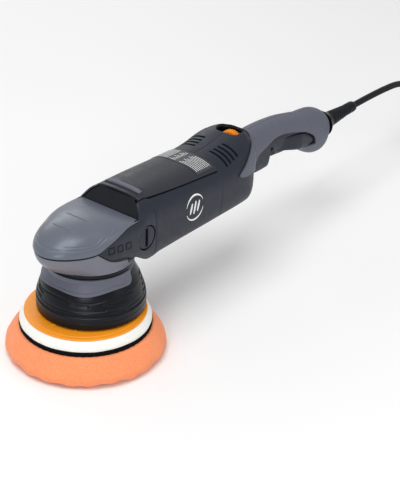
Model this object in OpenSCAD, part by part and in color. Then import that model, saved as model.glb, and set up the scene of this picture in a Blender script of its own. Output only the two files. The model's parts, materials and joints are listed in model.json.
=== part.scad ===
// Long-throw dual action polisher. A motor along +X drives a vertical spindle through bevel
// gears. The spindle carries an eccentric weight, and the pad turns freely on an arbor in it.
// Millimetres, +Z up. The origin is where the spindle axis meets the foam pad's working face.
// The head is at -X, the handle and the mains lead are at +X, and the tool's left is -Y.

/* [Pad and backing plate] */
// Largest diameter of the foam pad
pad_d = 150; // [140:1:156]
// Diameter of the backing plate's hook face
plate_d = 125; // [118:1:130]
// Diameter of the orbit that the pad's axis runs round
throw_d = 15; // [10:1:16]

/* [Head and shroud] */
// Diameter of the shroud's lower rim
shroud_d = 102; // [100:1:104]
// How far the nose reaches in front of the spindle axis
nose_reach = 64; // [62:1:66]
// Half of the head's width
head_half = 38.5; // [38:0.5:40]

/* [Motor housing] */
// Height of the motor axis above the pad's working face
axis_z = 112; // [111:0.5:113]
// Half of the motor housing's width
body_half = 36.5; // [36:0.5:38]
// Wall thickness of the plastic housings
wall = 2.6; // [2.2:0.1:2.8]

/* [Bevel gears] */
// Teeth on the spindle's bevel gear
gear_teeth = 40; // [40:1:40]
// Teeth on the motor pinion
pinion_teeth = 9; // [9:1:9]
// Pitch diameter of the spindle's bevel gear
gear_d = 54; // [52:1:54]

/* [Handle and controls] */
// Half of the handle's width where the fingers go round it
grip_half = 16.5; // [16:0.5:18]
// Diameter of the speed dial
dial_d = 28; // [27:0.5:29]

/* [Mains lead] */
// Diameter of the mains lead
cord_d = 7; // [6.5:0.1:7.5]
// Outer diameter of the wound coil
coil_d = 112; // [108:1:116]

/* [Hidden] */
$fn = 72;

// Colours
charcoal = [0.11, 0.11, 0.12];
slate = [0.26, 0.28, 0.32];
warm_dark = [0.29, 0.28, 0.28];
grip_grey = [0.44, 0.45, 0.52];
cast_grey = [0.60, 0.60, 0.66];
steel = [0.72, 0.73, 0.75];
copper = [0.72, 0.42, 0.22];
orange = [0.95, 0.58, 0.12];
coral = [0.96, 0.60, 0.42];

// Heights of the layers under the plate, from the working face up
pad_top = 27;
loop_top = 29;
hook_top = 31.5;
foam_top = 41;
plate_top = 43.6;
shroud_z = 44.8;
neck_z = 91.3;
band_top = 96.3;
neck_r = 36.5;
neck_skin = 39.4;
offset_x = -throw_d / 2;

// Head outline, seen from above: half an ellipse, then nearly straight sides
nose_centre = 4;
nose_tip = -nose_reach;
nose_axis = nose_centre + nose_reach;
head_end = 26;
// Nose cover, seen from the side: its highest point, and where its front begins to fall
crown_x = -16;
crown_z = 140;
crown_bow = 0.0044;
brow_x = -28;
nose_wall = 2.4;

// Stations [x, value] along the body and handle, joined by smooth curves
half_width = [
    [4, head_half], [26, head_half], [48, body_half + 0.5], [80, body_half], [146, body_half],
    [186, body_half - 0.5], [200, 33.5], [209, 28], [215, 22.5], [222, 18.5], [232, 17.2],
    [258, grip_half], [300, grip_half], [335, 17.5], [350, 16.8], [358, 14.5], [363, 11]
];
top_line = [
    [-30, 141], [26, 142], [34, 146], [42, 146.5], [60, 146.2], [77, 145.8], [106, 144.5],
    [141, 142.8], [150, 142.8], [173, 144.8], [186, 147], [196, 148.8], [207, 150.8], [213, 149.2],
    [221, 143.3], [228, 139.3], [235, 137.3], [243, 137.5], [258, 137.1], [284, 134.2], [310, 128.4],
    [323, 126], [337, 124.5], [346, 122], [354, 118], [360, 113], [363, 109]
];
bottom_line = [
    [-30, 98], [10, 88], [26, 84], [40, 79], [48, 77.6], [60, 79.5], [146, 80], [188, 79.5],
    [200, 79], [207, 80.5], [213, 86.5], [218, 94], [223, 95.5], [229, 91], [234, 90], [249, 90],
    [251.5, 91], [253, 98], [302, 96], [311, 88.5], [316, 86], [325, 80], [335, 74.8], [346, 72.6],
    [353, 73.8], [358, 78], [363, 86]
];
mid_line = [
    [-30, 118], [26, 116], [60, 112], [195, 112], [216, 113.5], [230, 115], [254, 115],
    [283, 113], [308, 108.5], [335, 99], [350, 97.2], [363, 97.5]
];
top_square = [
    [-30, 3.2], [60, 3.2], [146, 2.9], [168, 2.9], [186, 3.2], [205, 3], [215, 2.5], [232, 2.3], [363, 2.1]
];
bottom_square = [
    [-30, 3], [60, 4.2], [196, 4.2], [214, 3.2], [230, 4.6], [252, 5], [264, 3], [312, 2.4], [363, 2.3]
];

// Height of the nose cover's lower edge, and of the shields' lower edge
nose_edge = [
    [-62, 120.6], [-50, 120], [-36, 119.3], [-26, 120], [-17, 123.7], [-7, 127], [2, 129.6],
    [10, 131.3], [26, 132]
];
shield_start = -26;
shield_edge = [
    [-26, 118.7], [-20, 113.5], [-14, 109], [-5, 105.3], [4, 103.2], [11, 101], [15.5, 98.4],
    [20, 97.4], [27, 93], [36, 87], [48, 80]
];
// Height of the seam between the side and the visor, and then the top cover
seam_line = [[26, 132], [33, 142], [40, 143.6], [52, 142.4], [100, 138], [150, 134]];

// Where the pieces end along the body
body_start = 48;
rear_seam = 146;
rear_end = 363;
cover_start = 37.4;
bar_start = 43.4;
bar_end = 48.4;

// Handle: the hard shell lies deeper where the soft grip covers it
grip_depth = 1.6;
grip_gap = 0.7;

// Trigger opening in the handle: its upper edge, and the trigger's own outline
opening_start = 254;
opening_end = 331;
pocket_start = 312;
pocket_top = 90.6;
opening_edge = [
    [253, 116.2], [273, 116.8], [294, 114.8], [312, 110.6], [325, 102.6], [329, 97], [331, 91]
];
trigger_start = 254.4;
trigger_end = 328.5;
trigger_half = 10.8;
trigger_bottom = [[254, 98], [283, 94.1], [305, 92.8], [312.5, 93.3], [319, 92.2], [329, 93.6]];
trigger_top = [[254, 118.3], [280, 118.5], [300, 116.3], [316, 113.6], [329, 113.2]];
pivot_x = 321;
pivot_z = 110;
button_x = 260.5;
button_z = 105.6;
plunger_x = 272;
switch_z = 113.5;

// Centres of the screws that hold the rear halves together
screw_places = [[166, 89], [208, 91], [238, 98], [341, 86.5], [346, 112]];

// The grip's front edge as stations [x, angle], from its lower tip up to the top, and its
// lower edge as heights
grip_top = 224;
grip_front = [
    [173, 8], [178.3, 12.1], [184.5, 17.5], [192.6, 28.8], [203, 39], [213, 45], [219, 51], [221.5, 66], [224, 90]
];
grip_edge = [
    [173, 119.2], [180, 116.9], [187, 115.9], [198, 115.6], [210, 112], [219, 106.8], [222.7, 105.8],
    [225.4, 110.2], [229, 114.3], [234, 116.6], [244, 119.1], [253, 121.7]
];
// The grip's edge above the trigger, where the hard shell shows below it
grip_opening = [
    [252, 121.6], [260, 122.9], [272, 122.4], [284, 119.8], [298, 115.9], [312, 111], [325, 103],
    [329, 97.4], [331, 91]
];

// Bevel gears: one cone apex, on both axes
cone_angle = atan(pinion_teeth / gear_teeth);
pitch_r = gear_d / 2;
face_in = 19;
tooth_up = 0.6;
tooth_down = 1.3;
gear_gap = 0.61 * PI * gear_d / gear_teeth / 2;
pinion_half = 0.65;

// Motor along the X axis
fan_x = 60;
stator_x = 74;
stator_len = 50;
stator_r = 26.5;
armature_r = 16;
commutator_x = 138;
commutator_len = 12;
commutator_r = 11;
front_bearing_x = 38;
rear_bearing_x = 160;
socket_x = 35;
socket_z = 111.3;

// Speed dial, in a pocket behind the hump
dial_x = 207;
dial_z = 131.5;
dial_pocket = [19, 27, 141];
pocket_x = 193.5;
dial_w = 7;

// Mains lead: the route's points, from the strain relief down to the floor and the coil
relief_z = 97.4;
relief_end = 423;
cord_r = cord_d / 2;
coil_x = 600;
coil_y = -50;
coil_in = coil_d / 2 - 28;
coil_h = 28;
cord_route = [
    [423, 0, 97.4], [443, 0, 97.4], [465, 0, 97], [487, 0, 96], [508, 0, 94], [525, 0, 89.5],
    [540, 0, 81.5], [553, -1, 72], [563, -2, 59.5], [573, -4, 47.5], [585, -6, 37.5],
    [600, -9, 32], [617, -12, 31]
];
plug_x = 638;
plug_y = 4;
plug_r = 18.5;
plug_len = 42;
pin_r = 2.4;
pin_len = 19;
pin_gap = 19;

// ---- Curves and surfaces ----

function station(k, x, i = 0) = i < len(k) - 2 && x > k[i + 1][0] ? station(k, x, i + 1) : i;

function slope(k, i) = let (a = max(i - 1, 0), b = min(i + 1, len(k) - 1))
    (k[b][1] - k[a][1]) / (k[b][0] - k[a][0]);

// Smooth value at x of a list of stations
function at(k, x) = let (
        i = station(k, x), h = k[i + 1][0] - k[i][0], t = min(max((x - k[i][0]) / h, 0), 1),
        m0 = slope(k, i) * h, m1 = slope(k, i + 1) * h
    )
    (2 * t ^ 3 - 3 * t ^ 2 + 1) * k[i][1] + (t ^ 3 - 2 * t ^ 2 + t) * m0
    + (3 * t ^ 2 - 2 * t ^ 3) * k[i + 1][1] + (t ^ 3 - t ^ 2) * m1;

function steps(a, b, n) = [for (i = [0:n]) a + (b - a) * i / n];

// Half of the width: the nose's half ellipse, and then the stations
function width(x, inset = 0) = x < nose_centre
    ? (head_half - inset) * sqrt(max(0, 1 - ((nose_centre - x) / (nose_axis - inset)) ^ 2))
    : at(half_width, x) - inset;

// A point of the body's surface, set in by inset. The angle a runs from -90, underneath,
// through 0, half way up the left side, to 90, on top, and on past 90 down the right side.
function body_point(x, a, inset = 0) = let (
        upper = sin(a) >= 0, mid = at(mid_line, x),
        n = upper ? at(top_square, x) : at(bottom_square, x),
        h = (upper ? at(top_line, x) - mid : mid - at(bottom_line, x)) - inset,
        w = width(x, inset)
    )
    [x, -sign(cos(a)) * w * abs(cos(a)) ^ (2 / n), mid + sign(sin(a)) * h * abs(sin(a)) ^ (2 / n)];

// The angle at which the body's surface reaches height z
function angle_at(x, z) = let (
        mid = at(mid_line, x), upper = z >= mid,
        n = upper ? at(top_square, x) : at(bottom_square, x),
        h = upper ? at(top_line, x) - mid : mid - at(bottom_line, x)
    )
    (upper ? 1 : -1) * asin(min(abs(z - mid) / h, 1) ^ (n / 2));

// Faces of a grid of points, rows r by columns c, from index s on
function grid_faces(r, c, s, flip) = [
    for (i = [0:r - 2], j = [0:c - 2]) let (
        q = [s + i * c + j, s + i * c + j + 1, s + (i + 1) * c + j + 1, s + (i + 1) * c + j]
    ) each flip ? [[q[0], q[2], q[1]], [q[0], q[3], q[2]]] : [[q[0], q[1], q[2]], [q[0], q[2], q[3]]]
];

// A closed wall between two grids of points, joined all round their edges. Two tip points
// close the grids' first rows, one outside and one inside.
module sheet(outer, inner, flip = false, tips = []) {
    r = len(outer);
    c = len(outer[0]);
    n = r * c;
    m_tip = 2 * n;
    pointed = len(tips) == 2;
    rim = concat(
        pointed ? [m_tip] : [for (j = [0:c - 2]) j], [for (i = [0:r - 1]) i * c + c - 1],
        [for (j = [c - 2:-1:0]) (r - 1) * c + j], [for (i = [r - 2:-1:pointed ? 0 : 1]) i * c]
    );
    m = len(rim);
    function under_side(i) = i == m_tip ? m_tip + 1 : i + n;
    sides = [
        for (i = [0:m - 1]) let (a = rim[i], b = rim[(i + 1) % m], p = under_side(a), q = under_side(b))
            each flip ? [[a, b, q], [a, q, p]] : [[a, q, b], [a, p, q]]
    ];
    fans = !pointed ? [] : [
        for (j = [0:c - 2]) let (k = flip ? [j + 1, j] : [j, j + 1])
            each [[m_tip, k[1], k[0]], [m_tip + 1, k[0] + n, k[1] + n]]
    ];
    polyhedron(
        points = concat([for (row = outer) each row], [for (row = inner) each row], tips),
        faces = concat(grid_faces(r, c, 0, flip), grid_faces(r, c, n, !flip), sides, fans)
    );
}

// A closed tube wall: outer rings out, inner rings back, each ring closed on itself
module tube_wall(outer, inner) {
    rings = concat(outer, [for (i = [len(inner) - 1:-1:0]) inner[i]]);
    m = len(rings);
    c = len(rings[0]);
    polyhedron(
        points = [for (ring = rings) each ring],
        faces = [
            for (i = [0:m - 1], j = [0:c - 1]) let (
                a = i * c + j, b = i * c + (j + 1) % c,
                d = ((i + 1) % m) * c + j, e = ((i + 1) % m) * c + (j + 1) % c
            ) each [[a, b, e], [a, e, d]]
        ]
    );
}

// A closed solid through rings of points, with flat ends
module loft(rings) {
    m = len(rings);
    c = len(rings[0]);
    polyhedron(
        points = [for (ring = rings) each ring],
        faces = concat(
            [for (i = [0:m - 2], j = [0:c - 1]) let (
                a = i * c + j, b = i * c + (j + 1) % c, d = (i + 1) * c + j,
                e = (i + 1) * c + (j + 1) % c
            ) each [[a, e, b], [a, d, e]]],
            [[for (j = [0:c - 1]) j], [for (j = [c - 1:-1:0]) (m - 1) * c + j]]
        )
    );
}

// Cylinders and rings along X
module rod_x(x, len, r) { translate([x, 0, axis_z]) rotate([0, 90, 0]) cylinder(r = r, h = len); }

module ring_x(x, len, r_out, r_in) {
    difference() {
        rod_x(x, len, r_out);
        rod_x(x - 1, len + 2, r_in);
    }
}

module ring_z(z, h, r_out, r_in) {
    translate([0, 0, z]) difference() {
        cylinder(r = r_out, h = h);
        translate([0, 0, -1]) cylinder(r = r_in, h = h + 2);
    }
}

// A ball bearing standing on z = 0: two rings, and a filled race between them
module bearing(bore_r, outer_r, w) {
    gap = (outer_r - bore_r) * 0.3;
    rotate_extrude() polygon([
        [bore_r, 0], [bore_r + gap, 0], [bore_r + gap, 0.4], [outer_r - gap, 0.4],
        [outer_r - gap, 0], [outer_r, 0], [outer_r, w], [outer_r - gap, w],
        [outer_r - gap, w - 0.4], [bore_r + gap, w - 0.4], [bore_r + gap, w], [bore_r, w]
    ]);
}

// A screw standing head up, with its head's underside at z = 0
module screw(head_r, head_h, shank_r, shank_len) {
    difference() {
        cylinder(r = head_r, h = head_h);
        translate([0, 0, head_h * 0.4]) cylinder(r = head_r * 0.5, h = head_h, $fn = 6);
    }
    translate([0, 0, -shank_len]) cylinder(r = shank_r, h = shank_len);
}

// ---- Pad and plate, turning on the arbor's axis ----

module on_arbor() { translate([offset_x, 0, 0]) children(); }

module foam_pad() {
    r = pad_d / 2;
    color(coral) on_arbor() rotate_extrude($fn = 96) polygon(concat(
        [[0, 0], [r - 9, 0]],
        [for (a = [-75:15:30]) [r - 8 + 8 * cos(a), 8 + 8 * sin(a)]],
        [[r - 3, 15], [r - 11, pad_top], [0, pad_top]]
    ));
}

module loop_disc() {
    color(charcoal) on_arbor() translate([0, 0, pad_top])
        cylinder(d = plate_d + 1, h = loop_top - pad_top, $fn = 96);
}

module hook_disc() {
    color(charcoal) on_arbor()
        ring_z(loop_top, hook_top - loop_top, plate_d / 2, 13);
}

module plate_foam() {
    r = plate_d / 2;
    color("white") on_arbor() rotate_extrude($fn = 96) polygon([
        [13, hook_top], [r - 1.3, hook_top], [r - 1.3, hook_top + 3], [r - 5, foam_top],
        [13, foam_top]
    ]);
}

module backing_plate() {
    r = plate_d / 2 - 5.4;
    color(orange) on_arbor() difference() {
        rotate_extrude($fn = 96) polygon([
            [4.1, foam_top - 3], [12.5, foam_top - 3], [12.5, foam_top], [r, foam_top],
            [r, foam_top + 1.2], [r - 6, plate_top - 0.5], [34, plate_top], [30, plate_top + 3],
            [16, plate_top + 3.4], [4.1, plate_top + 3.4]
        ]);
        for (k = [0:5]) rotate([0, 0, 60 * k + 30]) translate([22, 0, foam_top + 1.5])
            cylinder(r = 5, h = 8);
    }
}

module plate_screw() {
    color(steel) on_arbor() translate([0, 0, foam_top - 3]) {
        mirror([0, 0, 1]) difference() {
            cylinder(r = 6, h = 4.5);
            translate([0, 0, 2]) cylinder(r = 3, h = 4, $fn = 6);
        }
        cylinder(r = 3.9, h = 22);
    }
}

module pad_arbor() {
    color(steel) on_arbor() difference() {
        union() {
            translate([0, 0, plate_top + 3.4]) cylinder(r = 10, h = 3);
            translate([0, 0, plate_top + 6.4]) cylinder(r = 6, h = 24.5);
        }
        translate([0, 0, foam_top]) cylinder(r = 4, h = 24);
    }
}

// ---- Spindle, turning on the origin's Z axis ----

module arbor_bearings() {
    color(steel) on_arbor() for (z = [53.5, 66.5]) translate([0, 0, z]) bearing(6.03, 14, 8);
}

module counterweight() {
    color("dimgray") difference() {
        union() {
            on_arbor() translate([0, 0, 51.5]) cylinder(r = 17.5, h = 27);
            rotate([0, 0, -70]) rotate_extrude(angle = 140)
                polygon([[6, 53], [33, 53], [33, 68], [30, 76], [6, 76]]);
            translate([0, 0, 77]) cylinder(r = 13, h = 7);
        }
        on_arbor() translate([0, 0, 50]) cylinder(r = 12.4, h = 4);
        on_arbor() translate([0, 0, 53.5]) cylinder(r = 14, h = 22.5);
        translate([0, 0, 78.5]) cylinder(r = 7.5, h = 8);
    }
}

module spindle() {
    color(steel) {
        translate([0, 0, 78.5]) cylinder(r = 7.5, h = 20.5);
        translate([0, 0, 99]) cylinder(r = 6, h = 18);
        translate([0, 0, 117]) cylinder(r = 4, h = 9);
    }
}

// A wedge that widens away from the apex, tilted by angle, between two cone distances
module apex_wedge(angle, from, to, half, low, high) {
    rotate([0, angle, 0]) translate([0, 0, low]) linear_extrude(height = high - low) polygon([
        [from, -half * from / pitch_r], [to, -half * to / pitch_r],
        [to, half * to / pitch_r], [from, half * from / pitch_r]
    ]);
}

module bevel_gear() {
    reach = pitch_r / cos(cone_angle);
    rise = tooth_up / cos(cone_angle);
    far = (pitch_r + 0.1) * tan(cone_angle);
    near = face_in * tan(cone_angle);
    color(steel) translate([0, 0, axis_z]) difference() {
        rotate_extrude($fn = 96) polygon([
            [6, -far - 5.5], [15, -far - 5.5], [18, -far - 4], [pitch_r, -far - 4],
            [pitch_r + 0.1, rise - far], [face_in, rise - near], [16, rise - near - 3],
            [6, rise - near - 3]
        ]);
        for (k = [0:gear_teeth - 1]) rotate([0, 0, 360 / gear_teeth * k])
            apex_wedge(cone_angle, face_in - 2, reach + 2, gear_gap, -tooth_down, 4);
    }
}

module spindle_bearings() {
    color(steel) {
        translate([0, 0, 87]) bearing(7.53, 16, 9);
        translate([0, 0, 118.5]) bearing(4.03, 11, 6);
    }
}

// ---- Gear case and the shroud under it ----

// A point of the head's outline from above: u runs from -1, right rear, to 1, left rear
function head_outline(u, inset = 0) = let (side = 0.22, v = (abs(u) - 1 + side) / side)
    v > 0
    ? [nose_centre + (head_end - nose_centre) * v, -sign(u) * (head_half - inset)]
    : let (f = 90 * u / (1 - side))
        [nose_centre - (nose_axis - inset) * cos(f), -(head_half - inset) * sin(f)];

// The gear case's flared underside, from the neck out to the covers' lower edges
module case_bowl() {
    us = steps(-0.82, 0.82, 40);
    function bowl(u, t, in) = let (
            edge = head_outline(u, 1.2 + in),
            top = edge[0] < shield_start ? at(nose_edge, edge[0]) : at(shield_edge, edge[0]),
            ring = (neck_skin + 0.4 - in) * edge / norm(edge), f = sin(90 * t)
        )
        [
            ring[0] + (edge[0] - ring[0]) * f, ring[1] + (edge[1] - ring[1]) * f,
            band_top - 0.25 + (top - 0.45 - band_top) * (1 - cos(90 * t)) ^ 0.8
        ];
    sheet(
        [for (t = steps(0, 1, 6)) [for (u = us) bowl(u, t, 0)]],
        [for (t = steps(0, 1, 6)) [for (u = us) bowl(u, t, 2.2)]], true
    );
}

module gear_case() {
    roof = 128;
    color(cast_grey) {
        difference() {
            union() {
                rotate_extrude() polygon([
                    [0, 84], [33, 84], [neck_r - 0.2, 85], [neck_r - 0.2, band_top - 0.6],
                    [neck_skin + 1, band_top - 0.6], [neck_skin + 1, band_top + 0.2],
                    [37.5, band_top + 1.2], [34, band_top + 3], [34, 125], [32, 127], [26, roof],
                    [20, 130], [14, 131], [0, 131]
                ]);
                intersection() {
                    rod_x(20, 27, 24);
                    translate([15, -30, 99.3]) cube([40, 60, roof - 100.8]);
                }
                rod_x(43.7, 4, 28.5);
                for (s = [-1, 1]) translate([socket_x, s * 20, socket_z]) rotate([-s * 90, 0, 0])
                    cylinder(r = 9, h = 11.5);
            }
            rotate_extrude() polygon([
                [0, 98.5], [20, 98.5], [20, 99], [31, 99], [31, 124], [25, 125.5], [0, 127]
            ]);
            translate([0, 0, 80]) cylinder(r = 14, h = 20);
            translate([0, 0, 87]) cylinder(r = 16, h = 10);
            translate([0, 0, 80]) cylinder(r = 20, h = 5.5);
            rod_x(20, 20, 10);
            rod_x(front_bearing_x, 12, 13);
            for (s = [-1, 1]) translate([socket_x, s * 21.5, socket_z]) rotate([-s * 90, 0, 0])
                cylinder(r = 4, h = 20);
        }
        difference() {
            translate([0, 0, 117.5]) cylinder(r = 14, h = 10);
            translate([0, 0, 116]) cylinder(r = 11, h = 8.5);
            translate([0, 0, 116]) cylinder(r = 8, h = 12);
        }
        case_bowl();
    }
}

module neck_band() {
    color(charcoal) ring_z(neck_z + 0.2, band_top - neck_z - 1, neck_skin + 0.8, neck_r);
}

// Radius of the shroud's skin where the collar lies on it
function skin_r(z) = neck_skin + max(0, 87 - z) * 0.45;

module shroud() {
    r = shroud_d / 2;
    color(charcoal) difference() {
        rotate_extrude($fn = 96) polygon([
            [r - 2.6, shroud_z], [r - 0.2, shroud_z], [r, shroud_z + 6], [r, 56.5], [r - 1, 57.2],
            [r - 1, 59.2], [r - 0.8, 60.2], [r - 2.1, 65], [r - 5.1, 74], [r - 9, 81.5],
            [neck_skin, 87], [neck_skin, neck_z], [neck_r, neck_z], [neck_r, 84.6],
            [r - 12.2, 80.5], [r - 7.9, 73], [r - 4.9, 65], [r - 3.2, 56]
        ]);
        for (z = [61.7, 67.6, 73.4], s = [0, 180]) rotate([0, 0, s == 0 ? -52 : 18])
            rotate_extrude(angle = 34) translate([36, z]) square([18, 2.8]);
    }
}

module collar() {
    // The lower edge waves: lowest in front, higher at the sides
    function low(a) = 77.4 + 3.2 * (abs(a) / 102) ^ 2 + 1.1 * cos(a * 5.2);
    function skin(a, t, out) = let (z = neck_z - 0.3 + (low(a) - neck_z) * t, r = skin_r(z) + out)
        [-r * cos(a), r * sin(a), z];
    as = steps(-102, 102, 40);
    color(grip_grey) sheet(
        [for (t = steps(0, 1, 5)) [for (a = as) skin(a, t, 2)]],
        [for (t = steps(0, 1, 5)) [for (a = as) skin(a, t, 0.7)]], true
    );
}

// ---- Covers of the head ----

// Half of the section's width at height z
function side_y(x, z, inset = 0) = -body_point(x, angle_at(x, z), inset)[1];

module nose_cover() {
    function crown(x, in) = let (
            low = at(nose_edge, nose_tip), fall = max(0, (brow_x - x) / (brow_x - nose_tip - in))
        ) low + (crown_z - crown_bow * (x - crown_x) ^ 2 - low) * (1 - min(fall, 1) ^ 2.4) ^ (1 / 2.4);
    function dome(s, b, in) = let (
            x = nose_tip + in + (head_end - nose_tip - in) * (1 - cos(90 * s)),
            edge = at(nose_edge, x), n = 2.2
        )
        [
            x, -sign(cos(b)) * side_y(x, edge, in) * abs(cos(b)) ^ (2 / n),
            edge + (crown(x, in) - in - edge) * abs(sin(b)) ^ (2 / n)
        ];
    rows = steps(0.07, 1, 18);
    color(grip_grey) sheet(
        [for (s = rows) [for (b = steps(0, 180, 30)) dome(s, b, 0)]],
        [for (s = rows) [for (b = steps(0, 180, 30)) dome(s, b, nose_wall)]],
        false, [[nose_tip, 0, at(nose_edge, nose_tip)], [nose_tip + nose_wall, 0, at(nose_edge, nose_tip)]]
    );
}

module side_shield_left() {
    xs = steps(shield_start, body_start - 0.3, 20);
    function point(x, t, in) = let (
            low = at(shield_edge, x), high = (x < head_end ? at(nose_edge, x) : at(seam_line, x)) - 0.4,
            z = low + (high - low) * t
        ) [x, -side_y(x, z, in), z];
    color(slate) difference() {
        sheet(
            [for (x = xs) [for (t = steps(0, 1, 12)) point(x, t, 0)]],
            [for (x = xs) [for (t = steps(0, 1, 12)) point(x, t, 2.4)]]
        );
        translate([socket_x, -30, socket_z]) rotate([90, 0, 0]) cylinder(r = 12.3, h = 20);
    }
}

module side_shield_right() {
    mirror([0, 1, 0]) side_shield_left();
}

module handle_socket_plugs() {
    color(slate) for (s = [-1, 1]) translate([socket_x, s * 36.4, socket_z]) rotate([-s * 90, 0, 0])
        difference() {
            translate([0, 0, -4.6]) cylinder(r = 12, h = 5.4);
            translate([-1.3, -9.5, -1.4]) cube([2.6, 19, 4]);
        }
}

module visor() {
    xs = steps(head_end + 0.4, cover_start - 0.6, 6);
    function point(x, t, in) = let (
            f = (x - head_end) / (cover_start - head_end), z = 131.8 + 13.4 * f ^ 0.9,
            y = (side_y(x, min(z, at(top_line, x) - 2.5)) - 3.4) * (1 - 2 * t)
        ) [x, y, z - in];
    color("black") sheet(
        [for (x = xs) [for (t = steps(0, 1, 14)) point(x, t, 0)]],
        [for (x = xs) [for (t = steps(0, 1, 14)) point(x, t, 2)]], true
    );
}

module top_cover() {
    // A low bar stands across the cover behind its front edge
    xs = concat(
        [cover_start, bar_start - 0.7, bar_start, bar_end, bar_end + 0.7], steps(56, rear_seam - 0.2, 8)
    );
    function point(x, t, in) = let (
            a = angle_at(x, at(seam_line, x)), p = body_point(x, a + (180 - 2 * a) * t, in),
            bar = x >= bar_start && x <= bar_end ? 1.4 : 0,
            across = min(1, max(0, (22 - abs(p[1])) / 2))
        ) [p[0], p[1], p[2] + bar * across + 0.8];
    color(warm_dark) sheet(
        [for (x = xs) [for (t = steps(0, 1, 20)) point(x, t, 0)]],
        [for (x = xs) [for (t = steps(0, 1, 20)) point(x, t, 2.2)]]
    );
}

// ---- Motor housing and what it holds ----

module motor_housing() {
    xs = concat([body_start, 50], steps(58, rear_seam, 6));
    // Under the top cover the wall steps in by the cover's thickness
    function ring(x, in) = let (a = angle_at(x, at(seam_line, x) - 0.6)) concat(
        [for (t = steps(0, 1, 12)) body_point(x, -90 + (90 + a) * t, in)],
        [for (t = steps(0, 1, 16)) body_point(x, a + 1 + (178 - 2 * a) * t, in + 2.6)],
        [for (t = steps(0, 0.92, 11)) body_point(x, 180 - a + (90 + a) * t, in)]
    );
    color(slate) tube_wall([for (x = xs) ring(x, 0)], [for (x = xs) ring(x, wall)]);
}

module case_screws() {
    color(steel) for (s = [-1, 1]) translate([body_start - 0.2, s * 26, 89]) rotate([0, -90, 0])
        difference() {
            cylinder(r = 3.6, h = 3);
            translate([0, 0, 1.5]) cylinder(r = 1.8, h = 2, $fn = 6);
        }
}

module motor_shaft() {
    color(steel) {
        rod_x(17, 13, 3);
        rod_x(30, 26, 5);
        rod_x(56, 102, 5);
        rod_x(158, 12, 4);
    }
}

module pinion() {
    far = pitch_r + 0.6;
    function cone_r(x) = x * tan(cone_angle);
    color(steel) translate([0, 0, axis_z]) {
        difference() {
            rotate([0, 90, 0]) rotate_extrude() polygon([
                [0, face_in - 0.4], [cone_r(face_in) - tooth_down, face_in - 0.4],
                [cone_r(far) - tooth_down, far], [5, far + 0.4], [5, 30], [0, 30]
            ]);
            rotate([0, 90, 0]) cylinder(r = 3, h = 60);
        }
        intersection() {
            for (k = [0:pinion_teeth - 1]) rotate([360 / pinion_teeth * k, 0, 0])
                rotate([0, cone_angle, 0]) translate([0, 0, -tooth_up])
                    linear_extrude(height = tooth_up + tooth_down - 0.5) polygon([
                        [face_in, -pinion_half * face_in / pitch_r], [far + 2, -pinion_half],
                        [far + 2, pinion_half], [face_in, pinion_half * face_in / pitch_r]
                    ]);
            rotate([0, 90, 0]) translate([0, 0, face_in]) cylinder(r = 9, h = far - face_in);
        }
    }
}

module armature_core() {
    color(steel) difference() {
        rod_x(stator_x + 1, stator_len - 2, armature_r);
        rod_x(stator_x, stator_len, 5);
        for (k = [0:11]) translate([stator_x, 0, axis_z]) rotate([30 * k, 0, 0])
            translate([0, -1, 12]) cube([stator_len, 2, 6]);
    }
}

module armature_windings() {
    color(copper) {
        ring_x(stator_x - 7, 8, 13.5, 5);
        ring_x(stator_x + stator_len - 1, 8, 13.5, 5);
    }
}

module commutator() {
    color(copper) difference() {
        rod_x(commutator_x - 3, commutator_len + 3, commutator_r);
        rod_x(commutator_x - 4, commutator_len + 6, 5);
        for (k = [0:23]) translate([commutator_x - 3.5, 0, axis_z]) rotate([15 * k, 0, 0])
            translate([0, -0.3, commutator_r - 1]) cube([commutator_len + 4, 0.6, 2]);
    }
}

module cooling_fan() {
    color("black") {
        ring_x(fan_x, 2, 24, 5);
        ring_x(fan_x - 6, 8, 9, 5);
        for (k = [0:12]) translate([fan_x - 5, 0, axis_z]) rotate([360 / 13 * k, 0, 0])
            translate([0, -0.7, 8.5]) cube([5.5, 1.4, 14.5]);
    }
}

module motor_bearings() {
    color(steel) {
        translate([front_bearing_x, 0, axis_z]) rotate([0, 90, 0]) bearing(5.03, 13, 8);
        translate([rear_bearing_x, 0, axis_z]) rotate([0, 90, 0]) bearing(4.03, 10.98, 7);
    }
}

// Carries the rear bearing, on a bar across the housing's end
module bearing_bracket() {
    color(charcoal) difference() {
        union() {
            rod_x(rear_bearing_x, 9, 14);
            translate([rear_bearing_x + 3, -32, axis_z - 7]) cube([5, 64, 14]);
        }
        rod_x(rear_bearing_x - 1, 8, 11);
        rod_x(rear_bearing_x - 1, 20, 5.5);
    }
}

module stator_core() {
    color("gray") difference() {
        rod_x(stator_x, stator_len, stator_r);
        rod_x(stator_x - 1, stator_len + 2, armature_r + 0.6);
        for (s = [-1, 1]) translate([stator_x - 1, s * 17 - 5, axis_z - 11])
            cube([stator_len + 2, 10, 22]);
    }
}

module field_coils() {
    color(copper) for (s = [-1, 1]) translate([0, s * 17, axis_z]) difference() {
        translate([stator_x - 8, -4.6, -10.6]) cube([stator_len + 16, 9.2, 21.2]);
        translate([stator_x - 10, -s * 17, 0]) rotate([0, 90, 0])
            cylinder(r = armature_r + 0.8, h = stator_len + 20);
    }
}

module brush_parts(y0, y1, half_x, half_z) {
    for (s = [-1, 1]) translate([
        commutator_x + 6 - half_x, s > 0 ? y0 : -y1, axis_z - half_z
    ]) cube([2 * half_x, y1 - y0, 2 * half_z]);
}

module brush_holders() {
    color("goldenrod") difference() {
        brush_parts(14, 31.5, 4.6, 6.2);
        brush_parts(12, 30.5, 3.3, 4.9);
    }
}

module carbon_brushes() { color("black") brush_parts(commutator_r + 0.3, 23, 3, 4.6); }

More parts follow.
